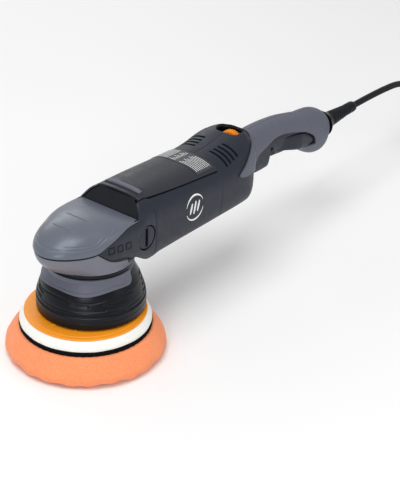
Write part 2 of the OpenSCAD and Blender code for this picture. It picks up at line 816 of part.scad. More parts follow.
module brush_springs() {
    color(steel) for (s = [-1, 1], k = [0:3])
        translate([commutator_x + 6, s * (23.3 + 1.7 * k), axis_z]) rotate([-s * 90, 0, 0])
            ring_z(0, 1.2, 2.8, 2);
}

module rating_plate() {
    // A blank band across the top cover
    xs = steps(119, 143, 4);
    function point(x, t, out) = body_point(x, 50 + 88 * t, -out) + [0, 0, 0.8];
    color("lightgray") sheet(
        [for (x = xs) [for (t = steps(0, 1, 20)) point(x, t, 0.8)]],
        [for (x = xs) [for (t = steps(0, 1, 20)) point(x, t, 0.35)]]
    );
}

module emblem() {
    // Three slanting bars inside an open ring
    color("white") translate([105, -body_half, axis_z + 2]) rotate([90, 0, 0])
        linear_extrude(height = 0.5) {
            difference() {
                circle(r = 12);
                circle(r = 10.6);
            }
            for (k = [-1:1]) translate([4.2 * k, 0])
                rotate(-20) square([1.8, 12 - 3 * abs(k)], center = true);
        }
}

// ---- Rear housing and handle ----

// A stretch of one half's wall from x0 to x1, between two edge angles given as functions
module half_wall(xs, low, high, out, in, n = 16) {
    sheet(
        [for (x = xs) [for (t = steps(0, 1, n)) body_point(x, low(x) + (high(x) - low(x)) * t, out)]],
        [for (x = xs) [for (t = steps(0, 1, n)) body_point(x, low(x) + (high(x) - low(x)) * t, in)]]
    );
}

under = function(x) -90;
crest = function(x) 90;
opening_angle = function(x) angle_at(x, at(opening_edge, x));
grip_opening_angle = function(x) angle_at(x, at(grip_opening, x));
pocket_angle = function(x) angle_at(x, pocket_top);

// How deep the hard shell lies under the housing's outline
function shell_depth(x) = grip_depth * min(1, max(0, (x - 194) / 24));

module handle_hollows() {
    // Slot for the dial, cooling slots in front of it, and the trigger's pin
    translate([dial_x - dial_w / 2 - 0.9, -dial_d / 2 - 1, dial_z - 5])
        cube([dial_w + 1.8, dial_d + 2, 30]);
    translate([pocket_x, -dial_pocket[1] / 2, dial_pocket[2]])
        cube([dial_pocket[0], dial_pocket[1], 30]);
    for (k = [0:3]) translate([158.5 + 5.8 * k, -31, 126]) cube([3, 22, 40]);
    translate([pivot_x, 1, pivot_z]) rotate([90, 0, 0]) cylinder(r = 2.02, h = 20);
}

// Half of the tray round the dial, up to the wall
module dial_tray() {
    intersection() {
        translate([pocket_x - 1.4, -dial_pocket[1] / 2 - 1.4, dial_pocket[2] - 1.6])
            cube([dial_pocket[0] + 2.8, dial_pocket[1] / 2 + 1.3, 20]);
        loft([
            for (x = steps(pocket_x - 2, pocket_x + dial_pocket[0] + 2, 4))
                [for (a = [255:-15:-90]) body_point(x, a, shell_depth(x) + 1.1)]
        ]);
    }
}

// A boss for each screw, from the middle plane out into the wall
module screw_bosses() {
    for (p = screw_places) difference() {
        reach = side_y(p[0], p[1], shell_depth(p[0]) + 2.2);
        translate([p[0], -0.2, p[1]]) rotate([90, 0, 0]) cylinder(r = 4, h = reach - 0.2);
        translate([p[0], 1, p[1]]) rotate([90, 0, 0]) cylinder(r = 1.95, h = 8);
    }
}

module rear_half_left() {
    xs_body = concat(
        [rear_seam + 0.2, 158, 170], steps(174, grip_top, 17),
        [225.4, 227.5, 229.5, 232, 236, 244, opening_start - 1]
    );
    module wall_part(xs, low, high, n) {
        sheet(
            [for (x = xs) [for (t = steps(0, 1, n))
                body_point(x, low(x) + (high(x) - low(x)) * t, shell_depth(x))]],
            [for (x = xs) [for (t = steps(0, 1, n))
                body_point(x, low(x) + (high(x) - low(x)) * t, shell_depth(x) + wall)]]
        );
    }
    color(slate) {
        difference() {
            union() {
                wall_part(xs_body, under, crest, 16);
                wall_part(steps(opening_start - 1, opening_end, 12), opening_angle, crest, 12);
                wall_part([opening_end, 338, 345, 350, 354, 358, 361, rear_end], under, crest, 16);
                wall_part(steps(pocket_start, opening_end, 4), under, pocket_angle, 6);
                dial_tray();
            }
            handle_hollows();
        }
        screw_bosses();
    }
}

module rear_half_right() {
    difference() {
        mirror([0, 1, 0]) rear_half_left();
        screw_head_wells();
    }
}

// Wells on the right side, down to the screws' heads
module screw_head_wells() {
    for (p = screw_places) translate([p[0], 6.8, p[1]]) rotate([-90, 0, 0]) cylinder(r = 3.4, h = 40);
}

// The left half of the soft grip, in front of the trigger, over it, and behind it
module grip_skin() {
    function lie(x) = shell_depth(x) - grip_gap;
    edge_angle = function(x) angle_at(x, at(grip_edge, x));
    front_angle = function(x) x >= grip_top ? 90 : max(at(grip_front, x), edge_angle(x) + 3);
    module skin_part(xs, low, high, n) {
        sheet(
            [for (x = xs) [for (t = steps(0, 1, n))
                body_point(x, low(x) + (high(x) - low(x)) * t, lie(x) - 1.2)]],
            [for (x = xs) [for (t = steps(0, 1, n))
                body_point(x, low(x) + (high(x) - low(x)) * t, lie(x))]]
        );
    }
    skin_part(
        concat(steps(174, grip_top, 17), [225.4, 227.5, 229.5, 232, 236, 244, opening_start - 1]),
        edge_angle, front_angle, 16
    );
    skin_part(steps(opening_start - 1, opening_end, 12), grip_opening_angle, crest, 12);
    skin_part([opening_end, 338, 345, 350, 354, 358, 361], under, crest, 16);
    skin_part(steps(pocket_start, opening_end, 4), under, pocket_angle, 6);
}

module grip_left() {
    color(grip_grey) grip_skin();
}

module grip_right() {
    color(grip_grey) difference() {
        mirror([0, 1, 0]) grip_skin();
        screw_head_wells();
    }
}

module handle_screws() {
    color(steel) for (p = screw_places) translate([p[0], 9, p[1]]) rotate([90, 0, 0]) {
        cylinder(r = 1.9, h = 15);
        cylinder(r = 3.2, h = 2.2);
    }
}

module speed_dial() {
    color(orange) translate([dial_x, 0, dial_z]) rotate([0, 90, 0]) difference() {
        union() {
            translate([0, 0, -dial_w / 2]) cylinder(d = dial_d - 1.6, h = dial_w);
            for (k = [0:29]) rotate([0, 0, 12 * k])
                translate([dial_d / 2 - 1.6, -0.8, -dial_w / 2]) cube([1.6, 1.6, dial_w]);
            translate([0, 0, dial_w / 2]) cylinder(r = 2.9, h = 3);
        }
        translate([0, 0, -dial_w / 2 - 1]) cylinder(r = 8, h = 3);
    }
}

module dial_potentiometer() {
    color("seagreen") translate([dial_x + dial_w / 2 + 1.6, 0, dial_z]) difference() {
        translate([0, -7, -10]) cube([5, 14, 14]);
        translate([-1, 0, 0]) rotate([0, 90, 0]) cylinder(r = 3, h = 3.4);
    }
}

module speed_module() {
    color("royalblue") translate([172, -14, 96]) cube([26, 28, 3]);
    color("black") {
        translate([175, -12, 99]) cube([12, 10, 8]);
        translate([190, -7, 99]) cylinder(r = 3.6, h = 12);
        translate([182, 3, 99]) cube([11, 9, 6]);
    }
}

module switch_body() {
    color("black") {
        difference() {
            translate([265.4, -7.8, switch_z]) cube([24.6, 15.6, 10.5]);
            translate([plunger_x - 3.8, -4.3, switch_z - 1]) cube([7.6, 8.6, 5.6]);
        }
        for (k = [0:1]) translate([290, -5 + 7 * k, switch_z + 3]) cube([5, 3, 3]);
    }
}

module switch_plunger() {
    color("lightgray") translate([plunger_x - 3.5, -4, switch_z - 9.2]) cube([7, 8, 9]);
}

module trigger() {
    xs = steps(trigger_start, trigger_end, 12);
    wall_t = 2;
    function ring(x, in) = let (
            lo = at(trigger_bottom, x) + in, hi = at(trigger_top, x), w = trigger_half - in
        ) [for (b = steps(0, 180, 16)) [
            x, -w * sign(cos(b)) * abs(cos(b)) ^ 0.62, hi - (hi - lo) * abs(sin(b)) ^ 0.62
        ]];
    module end_plate(x) {
        rings = [for (k = [0, 1]) ring(x + 2.2 * k, 0.6)];
        loft(rings);
    }
    color(slate) difference() {
        union() {
            sheet([for (x = xs) ring(x, 0)], [for (x = xs) ring(x, wall_t)], true);
            end_plate(trigger_start);
            end_plate(trigger_end - 2.2);
            for (s = [-1, 1]) translate([pivot_x, s > 0 ? 10 : -6.4, pivot_z])
                rotate([90, 0, 0]) cylinder(r = 3.4, h = 3.6);
        }
        translate([pivot_x, 20, pivot_z]) rotate([90, 0, 0]) cylinder(r = 2.06, h = 40);
        translate([button_x, 0, button_z]) rotate([90, 0, 0]) cylinder(r = 4.2, h = 20);
    }
}

module trigger_pin() {
    color(steel) translate([pivot_x, 15, pivot_z]) rotate([90, 0, 0]) cylinder(r = 2, h = 30);
}

module lock_button() {
    color("black") translate([button_x, -12.4, button_z]) rotate([-90, 0, 0])
        cylinder(r = 3.9, h = 5.4);
}

// ---- Mains lead and plug ----

module cord_clamp() {
    color("black") difference() {
        translate([345, -8, relief_z - 6.5]) cube([8, 16, 13]);
        translate([340, 0, relief_z]) rotate([0, 90, 0]) cylinder(r = cord_r, h = 20);
    }
}

module strain_relief() {
    flare = rear_end + 0.6;
    color(charcoal) translate([0, 0, relief_z]) rotate([0, 90, 0]) rotate_extrude() polygon([
        [cord_r, flare - 9], [4.6, flare - 9], [4.6, flare], [13, flare], [11.6, flare + 2.5],
        [9.5, flare + 7], [8.2, flare + 13], [7.3, flare + 21], [6.5, flare + 31],
        [5.7, flare + 43], [4.9, relief_end], [cord_r, relief_end]
    ]);
}

// Points of a smooth curve through the route, and the direction at each
function route_point(t) = let (
        n = len(cord_route) - 1, i = min(floor(t * n), n - 1), f = t * n - i,
        p0 = cord_route[max(i - 1, 0)], p1 = cord_route[i], p2 = cord_route[i + 1],
        p3 = cord_route[min(i + 2, n)]
    )
    0.5 * (2 * p1 + (p2 - p0) * f + (2 * p0 - 5 * p1 + 4 * p2 - p3) * f ^ 2
        + (3 * p1 - p0 - 3 * p2 + p3) * f ^ 3);

module cord() {
    n = 24;
    rings = [
        for (i = [0:n]) let (
            p = route_point(i / n),
            d = route_point(min(i / n + 0.01, 1)) - route_point(max(i / n - 0.01, 0)),
            side = cross([0, 0, 1], d), s = side / norm(side), up = cross(d / norm(d), s)
        ) [for (a = [0:36:324]) p + cord_r * (cos(a) * s + sin(a) * up)]
    ];
    color(charcoal) loft(rings);
}

module cord_coil() {
    r = coil_d / 2;
    edge = 2;
    color(charcoal) translate([coil_x, coil_y, 0]) rotate_extrude($fn = 96) polygon([
        [coil_in, edge], [coil_in + edge, 0], [r - edge, 0], [r, edge], [r, coil_h - edge],
        [r - edge, coil_h], [coil_in + edge, coil_h], [coil_in, coil_h - edge]
    ]);
}

module plug_body() {
    color(charcoal) translate([plug_x, plug_y, plug_r]) rotate([0, 90, 0]) rotate_extrude() polygon([
        [0, 0], [5.5, 0], [6.5, 14], [11, 20], [16.5, 25], [plug_r, 29], [plug_r, plug_len - 2],
        [plug_r - 1.5, plug_len], [0, plug_len]
    ]);
}

module plug_pins() {
    color(steel) for (s = [-1, 1]) translate([plug_x + plug_len, plug_y + s * pin_gap / 2, plug_r])
        rotate([0, 90, 0]) cylinder(r = pin_r, h = pin_len);
}

foam_pad();
loop_disc();
hook_disc();
plate_foam();
backing_plate();
plate_screw();
pad_arbor();
arbor_bearings();
counterweight();
spindle();
bevel_gear();
spindle_bearings();
gear_case();
neck_band();
collar();
shroud();
nose_cover();
side_shield_left();
side_shield_right();
visor();
top_cover();
handle_socket_plugs();
motor_housing();
case_screws();
motor_shaft();
pinion();
armature_core();
armature_windings();
commutator();
cooling_fan();
motor_bearings();
bearing_bracket();
stator_core();
field_coils();
brush_holders();
carbon_brushes();
brush_springs();
rating_plate();
emblem();
rear_half_left();
rear_half_right();
grip_left();
grip_right();
handle_screws();
speed_dial();
dial_potentiometer();
speed_module();
switch_body();
switch_plunger();
trigger();
trigger_pin();
lock_button();
cord_clamp();
strain_relief();
cord();
cord_coil();
plug_body();
plug_pins();
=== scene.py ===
"""Dual action polisher: the visible pieces, their materials, the light and the camera."""

import json
import math

import bmesh
import bpy
import numpy as np
from mathutils import Matrix, Vector


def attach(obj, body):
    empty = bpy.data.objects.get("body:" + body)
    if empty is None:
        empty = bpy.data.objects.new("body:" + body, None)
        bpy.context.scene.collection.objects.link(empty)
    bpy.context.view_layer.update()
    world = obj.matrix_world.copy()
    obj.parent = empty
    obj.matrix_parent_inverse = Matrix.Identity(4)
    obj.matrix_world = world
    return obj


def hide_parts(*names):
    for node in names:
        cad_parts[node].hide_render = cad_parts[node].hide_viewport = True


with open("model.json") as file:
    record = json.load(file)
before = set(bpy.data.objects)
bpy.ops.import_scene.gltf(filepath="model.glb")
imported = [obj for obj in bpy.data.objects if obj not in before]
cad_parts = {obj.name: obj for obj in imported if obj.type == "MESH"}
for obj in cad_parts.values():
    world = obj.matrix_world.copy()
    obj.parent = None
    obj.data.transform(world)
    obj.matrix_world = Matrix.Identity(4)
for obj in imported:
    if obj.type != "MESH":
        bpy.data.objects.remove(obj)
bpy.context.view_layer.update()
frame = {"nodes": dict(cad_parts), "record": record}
scene = bpy.context.scene
MM = 0.001

# ---- Camera ----

LENS_MM, SENSOR_MM = 117.36, 36
CAMERA_PLACE = (-0.949143, -0.869808, 0.839526)
AZ, EL, ROLL = (math.radians(a) for a in (-51.924, 29.86, 1.586))
back = Vector((math.sin(AZ) * math.cos(EL), -math.cos(AZ) * math.cos(EL), math.sin(EL)))
right0 = Vector((math.cos(AZ), math.sin(AZ), 0))
up0 = back.cross(right0)
right = math.cos(ROLL) * right0 + math.sin(ROLL) * up0
up = -math.sin(ROLL) * right0 + math.cos(ROLL) * up0
lens = bpy.data.cameras.new("camera")
lens.lens, lens.sensor_width, lens.sensor_fit = LENS_MM, SENSOR_MM, "AUTO"
lens.clip_start, lens.clip_end = 0.05, 30
camera = bpy.data.objects.new("camera", lens)
turn = Matrix((right, up, back)).transposed().to_4x4()
camera.matrix_world = Matrix.Translation(CAMERA_PLACE) @ turn
scene.collection.objects.link(camera)
scene.camera = camera
scene.view_settings.view_transform = "Standard"


# ---- Materials ----

MATERIALS = {}
COOL_SHINE = (0.8, 0.87, 1.0, 1.0)


def tone(r, g, b):
    """A colour seen on a screen, as the shader's own red, green and blue."""
    lin = [(v / 255 / 12.92 if v < 10.4 else ((v / 255 + 0.055) / 1.055) ** 2.4) for v in (r, g, b)]
    return (*lin, 1.0)


def scaled(c, k):
    return tuple(min(1.0, v * k) for v in c[:3]) + (1.0,)


class Looks:
    """A procedural material under construction, kept in MATERIALS under its name."""

    def __init__(self, name, rough=0.5, metallic=0.0, specular=0.5, coat=0.0, coat_rough=0.1, sheen=0.0):
        MATERIALS[name] = bpy.data.materials.new(name)
        MATERIALS[name].use_nodes = True
        self.tree = MATERIALS[name].node_tree
        self.shader = self.tree.nodes["Principled BSDF"]
        self.coords = self.add("ShaderNodeTexCoord").outputs["Object"]
        self.bumps = None
        self.fill(self.shader, {
            "Roughness": rough, "Metallic": metallic, "Specular IOR Level": specular, "Coat Weight": coat,
            "Coat Roughness": coat_rough, "Sheen Weight": sheen, "Specular Tint": COOL_SHINE,
        })

    def fill(self, node, inputs):
        """Each input takes its value, or is linked to another node's output."""
        for key, value in inputs.items():
            if isinstance(value, bpy.types.NodeSocket):
                self.tree.links.new(value, node.inputs[key])
            else:
                node.inputs[key].default_value = value

    def add(self, kind, inputs=None, **settings):
        node = self.tree.nodes.new(kind)
        for key, value in settings.items():
            setattr(node, key, value)
        self.fill(node, inputs or {})
        return node

    def noise(self, scale, detail=3.0, rough=0.55, stretch=None):
        place = self.coords
        if stretch:
            place = self.add("ShaderNodeVectorMath", {0: place, 1: stretch}, operation="MULTIPLY").outputs[0]
        inputs = {"Scale": scale, "Detail": detail, "Roughness": rough, "Vector": place}
        return self.add("ShaderNodeTexNoise", inputs).outputs["Fac"]

    def cells(self, scale):
        inputs = {"Scale": scale, "Vector": self.coords}
        return self.add("ShaderNodeTexVoronoi", inputs, feature="F1").outputs["Distance"]

    def bands(self, scale, distortion=0.0):
        """Stripes across X."""
        inputs = {"Scale": scale, "Distortion": distortion, "Vector": self.coords}
        return self.add("ShaderNodeTexWave", inputs, bands_direction="X").outputs["Fac"]

    def ranged(self, value, a, b, low, high):
        """The value with its stretch from a to b spread from low to high."""
        return self.add("ShaderNodeMapRange", {0: value, 1: a, 2: b, 3: low, 4: high}, clamp=True).outputs[0]

    def mixed(self, fac, a, b):
        inputs = {"Factor": fac, "A": a, "B": b}
        return self.add("ShaderNodeMix", inputs, data_type="RGBA").outputs["Result"]

    def colour(self, value):
        self.fill(self.shader, {"Base Color": value})

    def roughness(self, patches, low, high):
        self.fill(self.shader, {"Roughness": self.ranged(patches, 0.3, 0.7, low, high)})

    def bump(self, height, strength, distance):
        """A relief on top of those already there."""
        inputs = {"Strength": strength, "Distance": distance, "Height": height}
        if self.bumps is not None:
            inputs["Normal"] = self.bumps
        self.bumps = self.add("ShaderNodeBump", inputs).outputs["Normal"]
        self.fill(self.shader, {"Normal": self.bumps})

    def worn(self, base, lighter):
        """Edges rubbed lighter."""
        pointed = self.add("ShaderNodeNewGeometry").outputs["Pointiness"]
        return self.mixed(self.ranged(pointed, 0.53, 0.62, 0.0, 0.55), base, lighter)


def moulded(name, colour, rough=0.5, spread=0.06, grain=1500, depth=0.00004, strength=0.25, wear=1.5, **kw):
    """Moulded plastic or rubber: a fine spark-eroded grain, slight mottling and rubbed edges."""
    c, k = tone(*colour), Looks(name, rough, **kw)
    base = k.mixed(k.noise(38, 4), scaled(c, 1 - spread), scaled(c, 1 + spread))
    speck = k.mixed(k.ranged(k.noise(grain * 0.6, 2), 0.35, 0.65, 0, 0.35), base, scaled(c, 1.22))
    k.colour(k.worn(speck, scaled(c, wear)) if wear else speck)
    k.roughness(k.noise(160, 4), max(rough - 0.06, 0.05), min(rough + 0.08, 1))
    k.bump(k.noise(grain, 3, 0.6), strength, depth)


def foam(name, colour, deeper, cell=900, depth=0.0006, rough=0.95):
    """Open-cell foam: pores of two sizes, and softer patches of colour."""
    c, k = tone(*colour), Looks(name, rough, specular=0.2, sheen=0.15)
    pores = k.ranged(k.cells(cell), 0.15, 0.6, 0, 1)
    patches = k.mixed(k.noise(55, 5, 0.6), scaled(c, 0.93), scaled(c, 1.05))
    k.colour(k.mixed(pores, tone(*deeper), patches))
    k.roughness(k.noise(300, 3), rough - 0.1, rough)
    k.bump(k.cells(cell), 0.5, depth)
    k.bump(k.noise(cell * 2.2, 4, 0.7), 0.35, depth * 0.5)


def turned(name, colour, rough=0.3, lines=2600, stretch=(1, 1, 1)):
    """Turned or ground metal: fine lines, slightly stained."""
    c, k = tone(*colour), Looks(name, rough, metallic=1.0)
    stain = k.mixed(k.noise(90, 5, 0.65), scaled(c, 0.78), scaled(c, 1.08))
    k.colour(k.worn(stain, scaled(c, 1.35)))
    k.roughness(k.noise(240, 4, 0.6, stretch), rough - 0.08, rough + 0.12)
    k.bump(k.noise(lines, 2, 0.5, stretch), 0.2, 0.00003)


def cast(name, colour, rough=0.42, metallic=0.75, grain=700, depth=0.00012):
    """Cast metal, slightly uneven."""
    c, k = tone(*colour), Looks(name, rough, metallic=metallic, coat=0.12, coat_rough=0.3)
    base = k.mixed(k.noise(60, 5, 0.6), scaled(c, 0.86), scaled(c, 1.08))
    k.colour(k.worn(base, scaled(c, 1.3)))
    k.roughness(k.noise(200, 4), rough - 0.08, rough + 0.1)
    k.bump(k.noise(grain, 4, 0.6), 0.25, depth)


def fabric(name, colour, loops=1800):
    """Hook and loop pile: tiny dense loops."""
    c, k = tone(*colour), Looks(name, 0.95, specular=0.12)
    loop = k.cells(loops)
    k.colour(k.mixed(k.ranged(loop, 0.1, 0.7, 0, 1), scaled(c, 0.5), scaled(c, 1.6)))
    k.bump(loop, 0.8, 0.0005)
    k.bump(k.noise(260, 3), 0.3, 0.0003)


def wound(name, colour, rough=0.3):
    """Enamelled wire, laid turn by turn."""
    c, k = tone(*colour), Looks(name, rough, metallic=0.85, coat=0.5, coat_rough=0.15)
    wire = k.bands(420, 1.5)
    k.colour(k.mixed(wire, scaled(c, 0.55), scaled(c, 1.15)))
    k.bump(wire, 0.6, 0.0004)


def layered(name, colour):
    """Sheet-steel laminations across X."""
    c, k = tone(*colour), Looks(name, 0.45, metallic=0.9)
    sheet = k.bands(320)
    stain = k.mixed(k.noise(120, 5), scaled(c, 0.7), scaled(c, 1.1))
    k.colour(k.mixed(k.ranged(sheet, 0.0, 0.4, 0, 1), scaled(c, 0.4), stain))
    k.bump(sheet, 0.4, 0.0002)


foam("pad_foam", (255, 158, 108), (250, 132, 84), 1100, 0.0004)
fabric("hook_fabric", (13, 13, 14))
foam("white_foam", (252, 252, 246), (226, 226, 218), 1500, 0.0002, 0.8)
moulded("orange_plastic", (246, 150, 22), 0.42, 0.05, 1100, wear=1.12)
turned("steel", (176, 178, 182))
cast("cast_iron", (82, 82, 84), 0.6, 0.7, 520, 0.0003)
cast("cast_aluminium", (116, 117, 127), 0.38, 0.2)
moulded("black_rubber", (11, 12, 15), 0.3, 0.08, 900, 0.00006, 0.3, 2.2, specular=0.26)
moulded("grey_rubber", (90, 92, 104), 0.5, 0.05, 1300, 0.00006, 0.3, 1.25)
moulded("grey_plastic", (92, 97, 108), 0.34, 0.05, 1600, 0.00003, 0.22, 1.25, coat=0.2, coat_rough=0.25)
moulded("slate_plastic", (32, 36, 45), 0.42, 0.06, 1300, 0.00006, 0.3, 1.9, specular=0.36)
moulded("dark_panel", (40, 41, 47), 0.38, 0.05, 1500, 0.00004, 0.25, 1.7, specular=0.4, coat=0.08)
moulded("black_plastic", (15, 16, 20), 0.36, 0.06, 1500, 0.00003, 0.2, 2.0, specular=0.36)
layered("laminated_steel", (140, 142, 146))
wound("copper", (196, 112, 62))
turned("brass", (205, 170, 96), 0.28)
moulded("carbon", (44, 44, 46), 0.65, 0.12, 700, 0.0001, 0.4, 1.4)
moulded("label_film", (56, 56, 60), 0.35, 0.04, 2400, 0.00001, 0.1, 0, coat=0.3)
moulded("white_print", (238, 238, 238), 0.5, 0.02, 2400, 0.00001, 0.1, 0)
moulded("circuit_board", (34, 84, 58), 0.4, 0.12, 500, 0.00008, 0.3, 1.3, coat=0.4)
moulded("white_plastic", (222, 222, 216), 0.45, 0.03, 1300, 0.00004, 0.2, 1.05)
moulded("cord_rubber", (10, 10, 12), 0.4, 0.08, 1000, 0.00004, 0.3, 1.9, specular=0.3)
turned("plated_pins", (200, 198, 190), 0.25)
moulded("dark_gap", (12, 12, 13), 0.7, 0.1, 900, 0.00004, 0.3, 0)

for sub in frame["record"]["subparts"]:
    mesh = frame["nodes"][sub["node"]].data
    mesh.materials.clear()
    mesh.materials.append(MATERIALS[sub["material_slot"]])


# ---- The body's stations, in millimetres ----

HEAD_HALF, NOSE_CENTRE, NOSE_TIP, HEAD_END = 38.5, 4.0, -64.0, 26.0
NOSE_AXIS = NOSE_CENTRE - NOSE_TIP
CROWN_X, CROWN_Z, CROWN_BOW, BROW_X, DOME_SQUARE = -16.0, 140.0, 0.0044, -28.0, 2.2
SHIELD_START, COVER_START, BAR_START, BAR_END = -26.0, 37.4, 43.4, 48.4
BODY_START, REAR_SEAM, REAR_END = 48.0, 146.0, 363.0
OPEN_X0, OPEN_X1, POCKET_X, POCKET_Z, GRIP_TOP = 253.0, 331.0, 312.0, 90.6, 224.0
WALL = 2.6
SIDES = ((-1, "left"), (1, "right"))
SOCKET_X, SOCKET_Z = 35, 111.3
SCREW_WELL_R, SOCKET_HOLE_R, BUTTON_HOLE_R = 3.4, 12.35, 4.3
DIAL_X, DIAL_Z = 207, 131.5
BUTTON_X, BUTTON_Z = 260.5, 105.6
half_width = [
    (4, 38.5), (26, 38.5), (48, 37), (80, 36.5), (146, 36.5), (186, 36), (200, 33.5), (209, 28), (215, 22.5),
    (222, 18.5), (232, 17.2), (258, 16.5), (300, 16.5), (335, 17.5), (350, 16.8), (358, 14.5), (363, 11),
]
top_line = [
    (-30, 141), (26, 142), (34, 146), (42, 146.5), (60, 146.2), (77, 145.8), (106, 144.5), (141, 142.8),
    (150, 142.8), (173, 144.8), (186, 147), (196, 148.8), (207, 150.8), (213, 149.2), (221, 143.3),
    (228, 139.3), (235, 137.3), (243, 137.5), (258, 137.1), (284, 134.2), (310, 128.4), (323, 126),
    (337, 124.5), (346, 122), (354, 118), (360, 113), (363, 109),
]
bottom_line = [
    (-30, 98), (10, 88), (26, 84), (40, 79), (48, 77.6), (60, 79.5), (146, 80), (188, 79.5), (200, 79),
    (207, 80.5), (213, 86.5), (218, 94), (223, 95.5), (229, 91), (234, 90), (249, 90), (251.5, 91),
    (253, 98), (302, 96), (311, 88.5), (316, 86), (325, 80), (335, 74.8), (346, 72.6), (353, 73.8),
    (358, 78), (363, 86),
]
mid_line = [
    (-30, 118), (26, 116), (60, 112), (195, 112), (216, 113.5), (230, 115), (254, 115), (283, 113),
    (308, 108.5), (335, 99), (350, 97.2), (363, 97.5),
]
top_square = [
    (-30, 3.2), (60, 3.2), (146, 2.9), (168, 2.9), (186, 3.2), (205, 3), (215, 2.5), (232, 2.3), (363, 2.1),
]
bottom_square = [
    (-30, 3), (60, 4.2), (196, 4.2), (214, 3.2), (230, 4.6), (252, 5), (264, 3), (312, 2.4), (363, 2.3),
]
nose_edge = [
    (-62, 120.6), (-50, 120), (-36, 119.3), (-26, 120), (-17, 123.7), (-7, 127), (2, 129.6), (10, 131.3),
    (26, 132),
]
shield_edge = [
    (-26, 118.7), (-20, 113.5), (-14, 109), (-5, 105.3), (4, 103.2), (11, 101), (15.5, 98.4), (20, 97.4),
    (27, 93), (36, 87), (48, 80),
]
seam_line = [(26, 132), (33, 142), (40, 143.6), (52, 142.4), (100, 138), (150, 134)]
opening_edge = [(253, 116.2), (273, 116.8), (294, 114.8), (312, 110.6), (325, 102.6), (329, 97), (331, 91)]
trigger_bottom = [(254, 98), (283, 94.1), (305, 92.8), (312.5, 93.3), (319, 92.2), (329, 93.6)]
trigger_top = [(254, 118.3), (280, 118.5), (300, 116.3), (316, 113.6), (329, 113.2)]
grip_front = [
    (173, 8), (178.3, 12.1), (184.5, 17.5), (192.6, 28.8), (203, 39), (213, 45), (219, 51), (221.5, 66),
    (224, 90),
]
grip_edge = [
    (173, 119.2), (180, 116.9), (187, 115.9), (198, 115.6), (210, 112), (219, 106.8), (222.7, 105.8),
    (225.4, 110.2), (229, 114.3), (234, 116.6), (244, 119.1), (253, 121.7),
]
grip_opening = [
    (252, 121.6), (260, 122.9), (272, 122.4), (284, 119.8), (298, 115.9), (312, 111), (325, 103),
    (329, 97.4), (331, 91),
]
screw_places = [(166, 89), (208, 91), (238, 98), (341, 86.5), (346, 112)]


def hermite(p0, slope0, p1, slope1, t):
    """A cubic from p0 to p1 as t goes from 0 to 1."""
    return (
        (2 * t**3 - 3 * t**2 + 1) * p0 + (t**3 - 2 * t**2 + t) * slope0
        + (3 * t**2 - 2 * t**3) * p1 + (t**3 - t**2) * slope1
    )


def ease(t):
    """From 0 to 1 with a level start and end."""
    return t * t * (3 - 2 * t)


def at(stations, x):
    """Smooth value at x of a list of stations."""
    k = np.asarray(stations, float)
    x = np.asarray(x, float)
    i = np.clip(np.searchsorted(k[:, 0], x, side="left") - 1, 0, len(k) - 2)
    n = np.arange(len(k))
    lo, hi = np.maximum(n - 1, 0), np.minimum(n + 1, len(k) - 1)
    slope = (k[hi, 1] - k[lo, 1]) / (k[hi, 0] - k[lo, 0])
    h = k[i + 1, 0] - k[i, 0]
    t = np.clip((x - k[i, 0]) / h, 0, 1)
    return hermite(k[i, 1], slope[i] * h, k[i + 1, 1], slope[i + 1] * h, t)


def sind(a):
    return np.sin(np.radians(a))


def cosd(a):
    return np.cos(np.radians(a))


def steps(a, b, n):
    return np.linspace(a, b, n + 1)


def xyz(x, y, z):
    """Points from three coordinates whose shapes fit together."""
    return np.stack(np.broadcast_arrays(x, y, z), -1)


def width(x, inset=0.0):
    bend = np.maximum(NOSE_CENTRE - x, 0) / (NOSE_AXIS - inset)
    nose = (HEAD_HALF - inset) * np.sqrt(np.maximum(0, 1 - bend**2))
    return np.where(x < NOSE_CENTRE, nose, at(half_width, x) - inset)


def section(x, upper):
    """The middle height of the section, its reach above or below that, and its squareness there."""
    mid = at(mid_line, x)
    reach = np.where(upper, at(top_line, x) - mid, mid - at(bottom_line, x))
    return mid, reach, np.where(upper, at(top_square, x), at(bottom_square, x))


def body_point(x, a, inset=0.0):
    """The body's surface: a runs from -90 underneath, over the left side at 0, the top at 90, to 270."""
    x, a, inset = np.broadcast_arrays(x, a, inset)
    s, c = sind(a), cosd(a)
    mid, reach, n = section(x, s >= 0)
    y = -np.sign(c) * width(x, inset) * np.abs(c) ** (2 / n)
    return xyz(x, y, mid + np.sign(s) * (reach - inset) * np.abs(s) ** (2 / n))


def angle_at(x, z):
    """The angle at which the surface reaches height z."""
    upper = z >= at(mid_line, x)
    mid, reach, n = section(x, upper)
    part = np.minimum(np.abs(z - mid) / reach, 1) ** (n / 2)
    return np.where(upper, 1, -1) * np.degrees(np.arcsin(part))


def side_y(x, z, inset=0.0):
    return -body_point(x, angle_at(x, z), inset)[..., 1]


def on_side(x, z, side, inset=0.0, proud=0.0):
    """Points on the wall of one side, -1 for the left, moved outward by proud."""
    return xyz(x, side * (side_y(x, z, inset) + proud), z)


def respaced(x, a, way):
    s, c = sind(a), cosd(a)
    e = (2 / section(x, s >= 0)[2]) ** way
    p = np.degrees(np.arctan2(np.sign(s) * np.abs(s) ** e, np.sign(c) * np.abs(c) ** e))
    return np.where(np.asarray(a) > 180, p + 360, p)


def spread(x, a):
    """Angle a as an evenly spaced measure round the squarish section."""
    return respaced(x, a, 1)


def gathered(x, p):
    """The angle that has the measure p."""
    return respaced(x, p, -1)


def skin(xs, ts, low, high, inset=0.0):
    """Rows at each x of points from angle low to angle high."""
    x = np.asarray(xs, float)[:, None]
    low, high, inset = (np.broadcast_to(v, (len(xs),))[:, None] for v in (low, high, inset))
    p0, p1 = spread(x, low), spread(x, high)
    return body_point(x, gathered(x, p0 + (p1 - p0) * np.asarray(ts)), inset)


# ---- Mesh building ----


